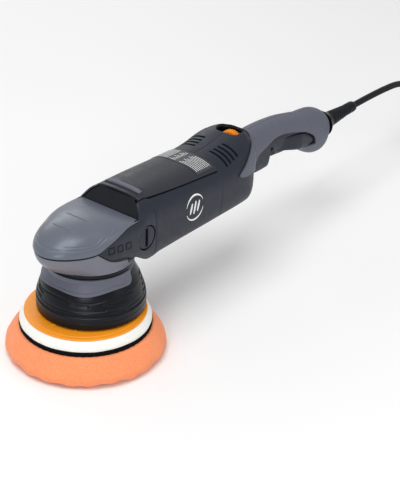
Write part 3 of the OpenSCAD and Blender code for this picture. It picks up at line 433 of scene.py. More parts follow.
def smoothed(mesh, sharp=38):
    """Smooth faces, with edges kept sharp that bend by more than so many degrees."""
    mesh.polygons.foreach_set("use_smooth", [True] * len(mesh.polygons))
    mesh.set_sharp_from_angle(angle=math.radians(sharp))


def piece(name, verts, faces, material, sharp=38):
    """An object in metres from points in millimetres, welded, with its normals outward."""
    mesh = bpy.data.meshes.new(name)
    points = (np.asarray(verts, float).reshape(-1, 3) * MM).tolist()
    mesh.from_pydata(points, [], [list(map(int, f)) for f in faces])
    bm = bmesh.new()
    bm.from_mesh(mesh)
    bmesh.ops.remove_doubles(bm, verts=bm.verts, dist=2e-6)
    bmesh.ops.dissolve_degenerate(bm, dist=1e-6, edges=bm.edges)
    bmesh.ops.recalc_face_normals(bm, faces=bm.faces)
    bm.to_mesh(mesh)
    bm.free()
    mesh.validate()
    smoothed(mesh, sharp)
    mesh.materials.append(MATERIALS[material])
    obj = bpy.data.objects.new(name, mesh)
    scene.collection.objects.link(obj)
    return obj


def shell_data(outer, inner, keep=None, loop=False):
    """A closed wall between two grids of points. keep says which cells of the grid are there."""
    r, c = outer.shape[:2]
    n = r * c
    cols = c if loop else c - 1
    keep = np.ones((r - 1, cols), bool) if keep is None else keep
    faces = []

    def there(i, j):
        if loop:
            j %= cols
        return 0 <= i < r - 1 and 0 <= j < cols and keep[i, j]

    for i in range(r - 1):
        for j in range(cols):
            if not keep[i, j]:
                continue
            k = (j + 1) % c
            a, b, d, e = i * c + j, i * c + k, (i + 1) * c + k, (i + 1) * c + j
            faces += [(a, b, d, e), (a + n, e + n, d + n, b + n)]
            for p, q, di, dj in ((a, b, -1, 0), (b, d, 0, 1), (d, e, 1, 0), (e, a, 0, -1)):
                if not there(i + di, j + dj):
                    faces.append((q, p, p + n, q + n))
    return np.concatenate([outer.reshape(-1, 3), inner.reshape(-1, 3)]), faces


def shell(name, outer, inner, material, keep=None, loop=False, sharp=38):
    verts, faces = shell_data(outer, inner, keep, loop)
    return piece(name, verts, faces, material, sharp)


def revolved_data(profile, n=128, axis="z", at_point=(0, 0, 0), wobble=None):
    """A closed profile of (radius, height) points turned round an axis."""
    prof = np.asarray(profile, float)
    a = np.arange(n) * 2 * math.pi / n
    r = prof[:, 0][:, None] + 0 * a
    h = prof[:, 1][:, None] + 0 * a
    if wobble is not None:
        r, h = wobble(r, h, a[None, :])
    u, v = r * np.cos(a), r * np.sin(a)
    pts = np.stack([u, v, h] if axis == "z" else [h, u, v], -1) + np.asarray(at_point, float)
    m = len(prof)
    faces = []
    for i in range(m):
        for j in range(n):
            k, i2 = (j + 1) % n, (i + 1) % m
            faces.append((i * n + j, i * n + k, i2 * n + k, i2 * n + j))
    return pts.reshape(-1, 3), faces


def revolved(name, profile, material, n=128, axis="z", at_point=(0, 0, 0), wobble=None, sharp=32):
    verts, faces = revolved_data(profile, n, axis, at_point, wobble)
    return piece(name, verts, faces, material, sharp)


def rounded(profile, radius=0.8, n=4):
    """The closed profile with its corners rounded."""
    p = np.asarray(profile, float)
    out = []
    for i in range(len(p)):
        a, b, c = p[i - 1], p[i], p[(i + 1) % len(p)]
        la, lc = np.linalg.norm(a - b), np.linalg.norm(c - b)
        if min(la, lc) < 1e-6:
            out.append(b)
            continue
        size = min(radius, 0.45 * la, 0.45 * lc)
        u, v = b + (a - b) / la * size, b + (c - b) / lc * size
        out += [(1 - t) ** 2 * u + 2 * t * (1 - t) * b + t**2 * v for t in steps(0, 1, n)]
    return np.array(out)


def dense(profile, step):
    """The closed profile with points no further apart than step."""
    out = []
    p = np.asarray(profile, float)
    for i in range(len(p)):
        a, b = p[i], p[(i + 1) % len(p)]
        k = max(1, int(np.ceil(np.linalg.norm(b - a) / step)))
        out += [a + (b - a) * t / k for t in range(k)]
    return np.array(out)


def prism_data(low, high):
    """A closed solid between two rings of points that match one by one."""
    n = len(low)
    faces = [(j, (j + 1) % n, n + (j + 1) % n, n + j) for j in range(n)]
    return np.concatenate([low, high]), faces + [tuple(range(n))[::-1], tuple(range(n, 2 * n))]


def block_data(x0, x1, y0, y1, z0, z1, r=0.0):
    """A closed block, its upright edges rounded where r is given."""
    outline = np.array([(x0, y0), (x1, y0), (x1, y1), (x0, y1)], float)
    if r:
        outline = rounded(outline, r * 1.3, 8)
    return prism_data(*(np.c_[outline, np.full(len(outline), z)] for z in (z0, z1)))


def joined(parts):
    verts, faces, start = [], [], 0
    for v, f in parts:
        verts.append(np.asarray(v, float).reshape(-1, 3))
        faces += [tuple(i + start for i in face) for face in f]
        start += len(verts[-1])
    return np.concatenate(verts), faces


def bevel(obj, size, segments=2, angle=38):
    m = obj.modifiers.new("edges", "BEVEL")
    m.width, m.segments, m.limit_method = size * MM, segments, "ANGLE"
    m.angle_limit = math.radians(angle)


def settled(obj):
    """The object's modifiers, applied."""
    graph = bpy.context.evaluated_depsgraph_get()
    graph.update()
    mesh = bpy.data.meshes.new_from_object(obj.evaluated_get(graph), depsgraph=graph)
    old = obj.data
    obj.modifiers.clear()
    obj.data = mesh
    bpy.data.meshes.remove(old)
    mesh.name = obj.name


def cut(obj, parts):
    """Takes closed shapes out of the object."""
    tool = piece("cutter", *joined(parts), "dark_gap")
    m = obj.modifiers.new("cut", "BOOLEAN")
    m.operation, m.solver, m.object, m.use_self = "DIFFERENCE", "EXACT", tool, True
    settled(obj)
    bpy.data.objects.remove(tool)
    smoothed(obj.data)


def done(obj, slot, *nodes, body="housing"):
    """The piece rides its body and takes the place of the CAD nodes named. slot is not used."""
    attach(obj, body)
    if nodes:
        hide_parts(*nodes)


def cylinder_data(a, b, r, n=40):
    """A closed cylinder from point a to point b."""
    a, b = np.asarray(a, float), np.asarray(b, float)
    d = (b - a) / np.linalg.norm(b - a)
    s = np.cross(d, [0, 0, 1] if abs(d[2]) < 0.9 else [1, 0, 0])
    s /= np.linalg.norm(s)
    ang = (np.arange(n) * 2 * math.pi / n)[:, None]
    ring = r * (np.cos(ang) * s + np.sin(ang) * np.cross(d, s))
    return prism_data(a + ring, b + ring)


# ---- Mains lead, its coil, tie and plug ----

CORD_R = 3.5
route = np.array([
    (423, 0, 97.4), (443, 0, 97.4), (465, 0, 97), (487, 0, 96), (508, 0, 94), (525, 0, 89.5), (540, 0, 81.5),
    (553, -1, 72), (563, -2, 59.5), (573, -4, 47.5), (585, -6, 37.5), (600, -9, 32), (617, -12, 31),
], float)
COIL = np.array((600.0, -50.0, 0.0))
COIL_START, LANE_CHANGE = 66.0, 70.0  # degrees
PLUG = np.array((638.0, 4.0, 18.5))
UP = np.array((0.0, 0.0, 1.0))


def through(points, per=8):
    """A smooth curve through the points."""
    n = np.arange(len(points))
    slopes = (points[np.minimum(n + 1, n[-1])] - points[np.maximum(n - 1, 0)]) / 2
    out = []
    for i in n[:-1]:
        out += [hermite(points[i], slopes[i], points[i + 1], slopes[i + 1], f) for f in np.arange(per) / per]
    return np.array(out + [points[-1]])


def coil_points():
    """Clockwise turns from the top of the coil down, each turn moving on a lane within a short arc."""
    lanes = [(45.5, 24.5), (38.5, 24.5)]
    for k, z in enumerate((17.5, 10.5, 3.5)):
        radii = (31.5, 38.5, 45.5, 52.5)
        lanes += [(r, z) for r in (radii if k % 2 == 0 else radii[::-1])]
    r0, z0 = math.hypot(17, 38), 31.0
    # the lead settles on the top layer over half a turn
    pts = []
    for t in steps(0, 1, 26)[1:]:
        pts.append((COIL_START - 180 * t, r0 + (45.5 - r0) * ease(t), z0 + (24.5 - z0) * ease(t)))
    angle = COIL_START - 180
    for k, ((r, z), (r2, z2)) in enumerate(zip(lanes, lanes[1:])):
        whole = (360.0 if k else 250.0) - LANE_CHANGE
        pts += [(angle - whole * t, r, z) for t in steps(0, 1, 36)[1:]]
        angle -= whole
        for t in steps(0, 1, 12)[1:]:
            pts.append((angle - LANE_CHANGE * t, r + (r2 - r) * ease(t), z + (z2 - z) * ease(t)))
        angle -= LANE_CHANGE
    # the last lane ends where the lead turns off to the plug
    whole = (angle - 105) % 360
    pts += [(angle - whole * t, *lanes[-1]) for t in steps(0, 1, max(4, int(whole / 7)))[1:]]
    return np.array([COIL + (r * cosd(a), r * sind(a), z) for a, r, z in pts]), angle - whole


turns, end_angle = coil_points()
leave = np.array([sind(end_angle), -cosd(end_angle), 0.0])
plug_back = PLUG + (3, 0, 0)
PULL = 50.0  # how far the lead keeps its direction at both ends of the tail
tail = [
    hermite(turns[-1], leave * PULL, plug_back, np.array([PULL, 0, 0]), t) for t in steps(0, 1, 20)[1:]
]
path = np.concatenate([through(route), turns, np.array(tail)])
curve = bpy.data.curves.new("mains_lead", "CURVE")
curve.dimensions, curve.bevel_depth, curve.bevel_resolution, curve.use_fill_caps = "3D", CORD_R * MM, 5, True
spline = curve.splines.new("POLY")
spline.points.add(len(path) - 1)
spline.points.foreach_set("co", np.c_[path * MM, np.ones(len(path))].ravel())
spline.use_smooth = True
lead = bpy.data.objects.new("mains_lead", curve)
lead.data.materials.append(MATERIALS["cord_rubber"])
scene.collection.objects.link(lead)
done(lead, "cord_rubber", "cord", "cord_coil")

# the tie: a flat strap round the coil's section, with its twisted ends
TIE_ANGLE = 235.0
out_dir = np.array([cosd(TIE_ANGLE), sind(TIE_ANGLE), 0.0])
along = np.array([-sind(TIE_ANGLE), cosd(TIE_ANGLE), 0.0])
strap = rounded([(27.4, 0.05), (56.6, 0.05), (56.6, 22.5), (50, 28.9), (34, 28.9), (27.4, 22.5)], 4, 5)
centre = strap.mean(axis=0)


def strap_row(w, thick):
    """The strap's outline w off its middle. On the floor it grows upward, elsewhere outward."""
    row = []
    for p in strap:
        d = (p - centre) / np.linalg.norm(p - centre)
        q = p + (d * thick * (0.75 if abs(w) > 3 else 1) if p[1] > 1 else (0, 0.35 * thick))
        row.append(COIL + out_dir * q[0] + along * w + UP * q[1])
    return row


STRAP_ROWS = (-3.2, -2.6, 0.0, 2.6, 3.2)
inside, outside = (np.array([strap_row(w, thick) for w in STRAP_ROWS]) for thick in (0.0, 0.8))
tie_parts = [shell_data(outside, inside, loop=True)]
for s in (-1, 1):
    a = COIL + out_dir * 42 + along * (s * 1.5) + UP * 28.8
    tie_parts.append(cylinder_data(a, a + along * (s * 13) + out_dir * (s * 3) - UP * 0.2, 1.1, 12))
tie = piece("cord_tie", *joined(tie_parts), "black_plastic")
done(tie, "black_plastic")

# the plug: a waisted grip with ribs behind a flat round face
plug_outline = [(4.9, 0.3), (5.5, 0.0), (5.9, 2.0)]
for k in range(5):
    rib = [(6.0, 2.6), (5.1, 3.4), (5.2, 4.2), (6.2, 4.8)]
    plug_outline += [(r + 0.15 * k, x + 2.3 * k) for r, x in rib]
plug_outline += [
    (8.4, 17), (11, 20), (14.5, 23), (16.8, 25.5), (18.1, 28), (18.4, 30), (18.4, 40.4), (17.6, 41.8),
    (16.4, 42), (0.02, 42), (0.02, 0.3),
]


def finger_grips(r, h, a):
    hold = np.clip(1 - np.abs(h - 33) / 5, 0, 1) * (r > 12)
    return r - 0.45 * hold * (np.cos(a * 24) > 0.3), h


plug_profile = rounded(plug_outline, 0.5, 3)
plug_shell = revolved("plug_shell", plug_profile, "black_rubber", 144, "x", PLUG, finger_grips)
done(plug_shell, "cord_rubber", "plug_body")
pin = [(0.02, -2), (2.38, -2), (2.38, 17.6), (2.1, 18.6), (1.5, 19), (0.02, 19)]
pins = [revolved_data(pin, 32, "x", PLUG + (42, s * 9.5, 0)) for s in (-1, 1)]
plug_contacts = piece("plug_contacts", *joined(pins), "plated_pins")
done(plug_contacts, "plated_pins", "plug_pins")

# strain relief: a flared boot with rings, and a thicker sleeve at its end
boot = [(3.52, -9), (4.55, -9), (4.55, 0), (14.4, 0.05), (14.2, 1.0), (12.8, 3.0), (11.0, 6.6), (9.7, 10)]
for k in range(9):
    x = 11 + 3.9 * k
    r = 8.6 - 0.31 * k
    boot += [(r, x), (r, x + 2.0), (r - 1.3, x + 2.5), (r - 1.35, x + 3.4)]
boot += [(6.0, 46.3), (6.1, 47), (6.1, 55.5), (5.6, 58.6), (5.0, 59.4), (3.52, 59.4)]
RELIEF_BASE = (363.6, 0, 97.4)
relief = revolved("strain_relief_boot", rounded(boot, 0.35, 3), "black_rubber", 96, "x", RELIEF_BASE)
done(relief, "black_rubber", "strain_relief")

# ---- Pad and plate ----

OFF = -7.5


def on_pad(name, profile, material, n, wobble, sharp=32):
    """A piece turned round the pad's own axis."""
    return revolved(name, profile, material, n, "z", (OFF, 0, 0), wobble, sharp)


def soft_rim(r, h, a):
    """The foam's cut edge is slightly uneven, and its face is dimpled, so its lower rim waves."""
    low = np.clip(1 - h / 14, 0, 1)
    outer = np.clip((r - 40) / 35, 0, 1)
    wave = np.sin(a * 22 + 0.6 * np.sin(a * 3)) * 0.6 + np.sin(a * 9 + 1.3) * 0.35 + np.sin(a * 5 + 0.4) * 0.3
    lift = low * outer * (0.9 + wave) * 1.05
    uneven = 0.22 * np.sin(a * 7 + h * 0.4) + 0.16 * np.sin(a * 17 - h * 0.3)
    r2 = r + outer * uneven - low * outer * 0.5 * (1 + wave)
    return np.minimum(r2, 75.6), np.maximum(h + lift * (h < 13) * np.clip((r - 60) / 8, 0, 1), 0.0)


pad_profile = [(0.02, 0)] + [(r, 0) for r in range(8, 66, 4)]
pad_profile += [(67 + 8 * cosd(t), 8 + 8 * sind(t)) for t in range(-90, 32, 6)]
pad_profile += [
    (73.1, 13.5), (72.0, 15.8), (70.6, 18), (69.0, 20.2), (67.3, 22.6), (65.6, 24.8), (64.4, 26.2),
    (63.4, 26.9), (62.6, 27.0),
]
pad_profile += [(r, 27.0) for r in range(58, 4, -6)] + [(0.02, 27)]
pad = on_pad("polishing_pad", pad_profile, "pad_foam", 360, soft_rim, 60)
texture_seed = np.random.default_rng(7)
co = np.empty(len(pad.data.vertices) * 3)
pad.data.vertices.foreach_get("co", co)
co = co.reshape(-1, 3)
rim = np.clip((np.hypot(co[:, 0] - OFF * MM, co[:, 1]) - 0.05) / 0.01, 0, 1)
jitter = texture_seed.normal(0, 0.00011, co.shape) * rim[:, None]
jitter[:, 2] *= co[:, 2] > 0.001
pad.data.vertices.foreach_set("co", (co + jitter).ravel())
done(pad, "pad_foam", "foam_pad", body="pad")


def pile_edge(r, h, a):
    return r + (r > 50) * (0.18 * np.sin(a * 61) + 0.14 * np.sin(a * 97 + h * 3)), h


loop_profile = rounded([(0.02, 27.0), (61.3, 27.0), (61.7, 28), (61.5, 29), (0.02, 29)], 0.4, 3)
hook_profile = rounded([(13, 29), (61.6, 29), (61.9, 30.2), (61.6, 31.5), (13, 31.5)], 0.5, 3)
loop = on_pad("loop_backing", loop_profile, "hook_fabric", 360, pile_edge)
done(loop, "hook_fabric", "loop_disc", body="pad")
hooks = on_pad("hook_face", hook_profile, "hook_fabric", 360, pile_edge)
done(hooks, "hook_fabric", "hook_disc", body="pad")


def soft_cushion(r, h, a):
    swell = np.clip((r - 40) / 15, 0, 1)
    return r + swell * (0.10 * np.sin(a * 8 + 0.7) + 0.07 * np.sin(a * 19 + h)), h


cushion_profile = rounded([
    (13, 31.5), (40, 31.5), (55, 31.5), (60.4, 31.5), (61.1, 31.9), (61.45, 33), (61.3, 34.6), (60.6, 36.4),
    (59.6, 38.2), (58.6, 39.8), (57.8, 40.7), (57.0, 41), (40, 41), (13, 41),
], 0.5, 2)
cushion = on_pad("plate_cushion", cushion_profile, "white_foam", 256, soft_cushion, 60)
done(cushion, "white_foam", "plate_foam", body="pad")

plate_profile = rounded([
    (4.1, 38), (12.5, 38), (12.5, 41), (56.2, 41), (57.1, 41.3), (57.1, 42.1), (56.2, 42.5), (53, 42.7),
    (52.6, 43.05), (51.4, 43.1), (34, 43.6), (30, 46.6), (16, 47), (4.1, 47),
], 0.4, 3)


def plate_ribs(r, h, a):
    top = (h > 42.2) * np.clip((r - 33) / 3, 0, 1) * np.clip((45 - r) / 2, 0, 1)
    return r, h + top * 0.7 * (np.abs(((a * 12 / math.pi) % 2) - 1) > 0.9)


plate = on_pad("backing_plate_shell", dense(plate_profile, 1.6), "orange_plastic", 432, plate_ribs)
done(plate, "orange_plastic", "backing_plate", body="pad")

# ---- Shroud, collar, neck ----

shroud_profile = rounded([
    (50.8, 44.8), (51, 50.8), (51, 56.5), (50.1, 57.0), (50.0, 59.2), (50.4, 60.0), (48.9, 65), (45.9, 74),
    (42, 81.5), (39.4, 87), (39.4, 91.3), (36.6, 91.3), (36.6, 84.6), (38.8, 80.5), (43.1, 73), (46.1, 65),
    (47.8, 56), (48.4, 44.8),
], 0.5, 3)
# heights and radii that part the shroud's outer side from its inner side
LIMIT_Z, LIMIT_R = (44, 56, 65, 73, 80.5, 87, 92), (50, 49.5, 47.5, 44.5, 40.3, 38.9, 38.9)
COLLAR_SPAN, COLLAR_TOP = 102, 91.0


def bell(v, centre, half, soft):
    """1 within half of the centre, falling to 0 over soft."""
    return np.clip((half + soft - np.abs(v - centre)) / soft, 0, 1)


def turn_to(a, centre):
    """Degrees from the centre, between -180 and 180."""
    return (np.degrees(a) - centre + 180) % 360 - 180


def shroud_relief(r, h, a):
    outside = (r > 39.299) & (r >= np.interp(h, LIMIT_Z, LIMIT_R))
    # two lines round the lower rim, and a fainter one above them
    d = 0 * a
    for z, deep, half in ((52.2, 0.35, 0.25), (58.1, 0.5, 0.5), (62.4, 0.28, 0.3)):
        d = d + deep * bell(h, z, half, 0.35)
    # a long shallow wave that follows the collar's edge
    g = turn_to(a, 180)
    line = 71.0 + 1.2 * cosd(g * 5.2) + 2.6 * (np.abs(g) / COLLAR_SPAN) ** 2
    d = d + 0.8 * bell(h, line, 0.5, 0.7) * bell(g, 0, 92, 5)
    for side in (-1, 1):
        # short recessed arcs in front
        for centre, half, z in ((139, 17, 63.6), (150, 8, 67.8), (112, 10, 67.8)):
            d = d + 1.3 * bell(turn_to(a, side * centre), 0, half, 3) * bell(h, z, 0.7, 0.5)
        # slanting slots towards the rear
        g = side * turn_to(a, 0)
        for k in range(4):
            line = 62.3 + 4.6 * k + (g - 45) * 0.085
            d = d + 2.6 * bell(g, 43 - 1.5 * k, 17 - k, 2) * bell(h, line, 0.8, 0.35)
    return r - outside * np.clip(d, 0, 2.7), h


shroud = revolved(
    "rubber_shroud", dense(shroud_profile, 0.42), "black_rubber", 480, wobble=shroud_relief, sharp=55
)
done(shroud, "black_rubber", "shroud")

ca, ct = steps(-COLLAR_SPAN, COLLAR_SPAN, 200)[None, :], steps(0, 1, 26)[:, None]
c_low = 77.4 + 3.2 * (np.abs(ca) / COLLAR_SPAN) ** 2 + 1.1 * cosd(ca * 5.2)
# rounded lower corners at both ends
end = np.clip((np.abs(ca) - 92) / 10, 0, 1)
c_low = c_low + 6.5 * (1 - np.sqrt(np.maximum(0, 1 - end**2)))
cz = COLLAR_TOP + (c_low - COLLAR_TOP) * ct


def collar_skin(out):
    r = 39.4 + np.maximum(0, 87 - cz) * 0.45 + out
    return xyz(-r * cosd(ca), r * sind(ca), cz)


# raised contour lines near the ends and one groove along the lower edge
contour = bell(np.abs(ca) + (COLLAR_TOP - cz) * 0.5, 93, 0.5, 0.6) * bell(cz, 85, 4, 1)
contour = np.maximum(contour, bell(cz - c_low, 2.6, 0.12, 0.35) * bell(ca, 0, 90, 3))
collar = shell("grip_collar", collar_skin(2.0 - 0.55 * contour), collar_skin(0.05), "grey_rubber")
bevel(collar, 0.5, 3)
done(collar, "grey_rubber", "collar")

band_profile = rounded([
    (36.5, 91.5), (39.5, 91.5), (39.6, 92.1), (40.2, 92.3), (40.2, 95.0), (39.6, 95.2), (39.5, 95.8),
    (36.5, 95.8),
], 0.25, 2)
band = revolved("neck_ring", band_profile, "black_rubber", 160)
done(band, "black_rubber", "neck_band")


def head_outline(u, inset=0.0):
    """The head's outline as u goes from -1 at its right rear over the nose to 1 at its left rear."""
    straight_part = 0.22
    v = (np.abs(u) - 1 + straight_part) / straight_part
    f = 90 * u / (1 - straight_part)
    straight = np.stack([NOSE_CENTRE + (HEAD_END - NOSE_CENTRE) * v, -np.sign(u) * (HEAD_HALF - inset)], -1)
    bent = np.stack([NOSE_CENTRE - (NOSE_AXIS - inset) * cosd(f), -(HEAD_HALF - inset) * sind(f)], -1)
    return np.where((v > 0)[..., None], straight, bent)


def covers_edge(x):
    return np.where(x < SHIELD_START, at(nose_edge, x), at(shield_edge, x))


def bowl(us, ts, inset):
    """The casting's underside, from a ring round the neck out to the covers' edge."""
    e = head_outline(us, 1.0 + inset)
    ring = (40.5 - inset) * e / np.linalg.norm(e, axis=1)[:, None]
    xy = ring + (e - ring) * sind(90 * ts)[:, None, None]
    z = 96.4 + (covers_edge(e[:, 0]) - 1.7 - 96.4) * ((1 - cosd(90 * ts)) ** 0.8)[:, None]
    return np.concatenate([xy, z[..., None]], -1)


us, ts = steps(-0.82, 0.82, 160), steps(0, 1, 28)
case_skin = shell("case_casting", bowl(us, ts, -0.15), bowl(us, ts, 1.4), "cast_aluminium")
bevel(case_skin, 0.4)
done(case_skin, "cast_aluminium")

# a black strip round the gap between the case and the covers: painted shade, standing in for the shadow in
# that gap
rows = []
for e in (head_outline(us, 0.55), head_outline(us, 3.0)):
    rows.append(np.stack([np.c_[e, covers_edge(e[:, 0]) - 1.9 + d] for d in (0.0, 0.4, 1.6, 2.6)]))
gap_shade = shell("case_gap_shade", *rows, "black_rubber")
done(gap_shade, "black_rubber")

# ---- Head covers ----


def crown(x, inset):
    low = at(nose_edge, NOSE_TIP)
    fall = np.clip((BROW_X - x) / (BROW_X - NOSE_TIP - inset), 0, 1)
    return low + (CROWN_Z - CROWN_BOW * (x - CROWN_X) ** 2 - low) * (1 - fall**2.4) ** (1 / 2.4)


def dome(ss, bs, inset):
    """The nose cover's surface, an arch of angles bs at each place ss from its tip to its rear."""
    x = (NOSE_TIP + inset + (HEAD_END - NOSE_TIP - inset) * (1 - np.cos(ss * math.pi / 2)))[:, None]
    edge = at(nose_edge, x)
    c, s = cosd(bs), sind(bs)
    y = -np.sign(c) * side_y(x, edge, inset) * np.abs(c) ** (2 / DOME_SQUARE)
    return xyz(x, y, edge + (crown(x, inset) - inset - edge) * np.abs(s) ** (2 / DOME_SQUARE))


ss = np.concatenate([steps(0, 0.12, 10)[:-1], steps(0.12, 1, 230)])
bs = 90 - 90 * np.cos(steps(0, math.pi, 260)) * 0.35 - 90 * (1 - steps(0, 2, 260)) * 0.65
outer = dome(ss, bs, 0)
X, Y, Z = outer[..., 0], outer[..., 1], outer[..., 2]
lift = Z - at(nose_edge, X)
# engraved lines: two crosswise arcs on top, and two that run round above the lower edge
d = 0.55 * bell(X, -36.4 + 0.010 * Y**2 - 0.6, 0.12, 0.45) * bell(Y, -0.5, 11, 2)
d = d + 0.55 * bell(X, -15.9 + 0.007 * Y**2 - 0.6, 0.12, 0.45) * bell(Y, -0.5, 14, 2)
d = d + 0.40 * bell(lift, 7.2, 0.2, 0.6) * np.clip((2 - X) / 12, 0, 1)
sides_only = np.clip((-14 - X) / 12, 0, 1) * np.clip((np.abs(Y) - 12) / 6, 0, 1)
d = d + 0.30 * bell(lift, 9.6, 0.15, 0.5) * sides_only
normal = np.cross(np.gradient(outer, axis=1), np.gradient(outer, axis=0))
normal /= np.maximum(np.linalg.norm(normal, axis=2, keepdims=True), 1e-9)
normal *= np.sign(((outer - (-10.0, 0, 110)) * normal).sum(-1, keepdims=True))
nose = shell("nose_shell", outer - normal * d[..., None], dome(ss, bs, 2.4), "grey_plastic", sharp=50)
bevel(nose, 0.45, 3, 50)
done(nose, "grey_plastic", "nose_cover")

x = steps(SHIELD_START, BODY_START - 0.3, 74)[:, None]
low = at(shield_edge, x)
high = np.where(x < HEAD_END, at(nose_edge, x) - 0.6, at(seam_line, x) - 0.4)
z = low + (high - low) * steps(0, 1, 44)
for side, hand in SIDES:
    skins = (on_side(x, z, side, inset) for inset in (0, 2.4))
    shield = shell("side_shield_" + hand + "_shell", *skins, "slate_plastic")
    hole_ends = ((SOCKET_X, side * y, SOCKET_Z) for y in (25, 60))
    cut(shield, [cylinder_data(*hole_ends, SOCKET_HOLE_R, 72)])
    bevel(shield, 0.4)
    done(shield, "slate_plastic", "side_shield_" + hand)

# a black strip under the line where each shield meets the nose cover: painted shade for the shadow in that
# seam
x = steps(SHIELD_START, HEAD_END, 60)[:, None]
z = at(nose_edge, x) + np.array([-1.8, -0.9, 0.0, 0.8])
strips = [shell_data(*(on_side(x, z, side, inset) for inset in (0.75, 2.2))) for side in (-1, 1)]
seam_shade_strips = piece("seam_shade_strips", *joined(strips), "black_rubber")
done(seam_shade_strips, "black_rubber")

# three plain square marks on the left shield, each a raised outline with rounded corners
corners = []
for middle in (45, 135, 225, 315):
    cx, cz = 2.7 * np.sign(cosd(middle)), 2.6 * np.sign(sind(middle))
    corners += [(cx + 1.1 * cosd(a), cz + 1.1 * sind(a)) for a in steps(middle - 45, middle + 45, 5)]
corners = np.array(corners)


def mark_row(cx, cz, scale, proud):
    px = corners[:, 0] * scale
    return on_side(cx + px, cz + corners[:, 1] * scale - 0.14 * px, -1, proud=proud)


marks = []
mark_section = ((1.0, 0.33), (0.95, 0.45), (0.71, 0.45), (0.66, 0.33))
for place in ((-12.8, 117.5), (-2.1, 116.0), (8.8, 114.4)):
    outer_rows = np.stack([mark_row(*place, scale, proud) for scale, proud in mark_section])
    inner_rows = np.stack([mark_row(*place, scale, -0.4) for scale, _ in mark_section])
    marks.append(shell_data(outer_rows, inner_rows, loop=True))
plain_marks = piece("shield_marks", *joined(marks), "black_rubber")
done(plain_marks, "black_rubber")

cap_profile = rounded([(0.02, 31.8), (11.3, 31.8), (11.3, 36.5), (10.8, 37.0), (0.02, 37.2)], 0.4, 3)
v, f = revolved_data(cap_profile, 72)
caps, slots, backs = [], [], []
for side in (-1, 1):
    caps.append((xyz(SOCKET_X + v[:, 0], side * v[:, 2], SOCKET_Z + v[:, 1]), f))
    slots.append(block_data(33.1, 36.9, *sorted((side * 33.2, side * 40)), 101.9, 120.7))
    back_ends = ((SOCKET_X, side * y, SOCKET_Z) for y in (31.5, 33.6))
    backs.append(cylinder_data(*back_ends, 12.6, 72))
socket_caps = piece("socket_caps", *joined(caps), "slate_plastic")
cut(socket_caps, slots)
bevel(socket_caps, 0.25)
done(socket_caps, "slate_plastic", "handle_socket_plugs")
# black discs behind the caps, seen in the ring round each cap and through its slot: painted shade for the
# shadow in those gaps
socket_shade_discs = piece("socket_shade_discs", *joined(backs), "black_rubber")
bevel(socket_shade_discs, 0.3)
done(socket_shade_discs, "black_rubber")

x = steps(HEAD_END + 0.4, COVER_START - 0.3, 22)[:, None]
across = 1 - 2 * steps(0, 1, 60)
f = (x - HEAD_END) / (COVER_START - HEAD_END)
vz = 131.8 + 13.4 * f**0.9
vy = (side_y(x, np.minimum(vz, at(top_line, x) - 2.5)) - 3.0) * across
sink = 0.5 * sind(180 * np.clip(f, 0, 1)) * (1 - np.abs(across) ** 3)
visor = shell("visor_shell", xyz(x, vy, vz - sink), xyz(x, vy, vz - sink - 2), "black_plastic", sharp=50)
bevel(visor, 0.3)
done(visor, "black_plastic", "visor")

xs = np.concatenate([
    steps(COVER_START, BAR_START - 0.5, 6), steps(BAR_START, BAR_END, 6), steps(BAR_END + 0.5, 60, 12),
    steps(62, REAR_SEAM - 0.2, 50),
])
low = angle_at(xs, at(seam_line, xs))


def cover(inset, proud):
    """The top cover's surface. proud is 1 on its outer side, which rises under the bar."""
    p = skin(xs, steps(0, 1, 110), low, 180 - low, inset)
    bar = ((xs >= BAR_START) & (xs <= BAR_END))[:, None] * proud
    p[..., 2] += 0.8 + 1.5 * bar * np.clip((22 - np.abs(p[..., 1])) / 1.2, 0, 1)
    # a low step behind the bar, in the middle only
    step_part = np.clip((20 - np.abs(p[..., 1])) / 4, 0, 1) * (xs[:, None] > 52) * proud
    p[..., 2] += step_part * 0.3 * np.clip((62 - xs[:, None]) / 8, 0, 1)
    return p


top = shell("top_cover_shell", cover(0, 1), cover(2.2, 0), "dark_panel", sharp=35)
bevel(top, 0.4, 3, 35)
done(top, "dark_panel", "top_cover")

# the raised strip across the cover behind its front edge
bar_section = np.array([
    (43.2, 0.9), (43.5, 1.9), (44.2, 2.5), (46.0, 2.7), (47.8, 2.5), (48.4, 1.9), (48.7, 0.9),
])
ts = steps(0, 1, 60)
rise = bar_section[:, 1:] * (1 - np.abs(2 * ts - 1) ** 16)
strip = skin(bar_section[:, 0], ts, 66, 114)
bar = shell("cover_bar", strip + xyz(0, 0, rise + 0.8), strip - (0, 0, 0.6), "grey_rubber")
bevel(bar, 0.3)
done(bar, "grey_rubber")

# ---- Motor housing ----

xs = np.concatenate([[BODY_START, 48.6, 49.4, 50.4], steps(52, REAR_SEAM, 58)])
edge = angle_at(xs, at(seam_line, xs) - 0.6)


def tube(inset):
    """The housing all round, lower by its wall where the top cover lies on it."""
    left = skin(xs, steps(0, 1, 60), -90, edge, inset)
    over = skin(xs, steps(0, 1, 50), edge + 1, 179 - edge, inset + WALL)
    other = skin(xs, steps(0, 1, 60)[:-1], 180.001 - edge, 270, inset)
    return np.concatenate([left, over, other], axis=1)


# the front end turns in slightly
tuck = 0.7 * np.clip((50.4 - xs) / 2.4, 0, 1) ** 2
motor = shell("motor_housing_shell", tube(tuck), tube(WALL), "slate_plastic", loop=True)
bevel(motor, 0.4)
done(motor, "slate_plastic", "motor_housing")


def on_cover(xs, ts, proud):
    return skin(xs, ts, 50, 138, -proud) + (0, 0, 0.8)


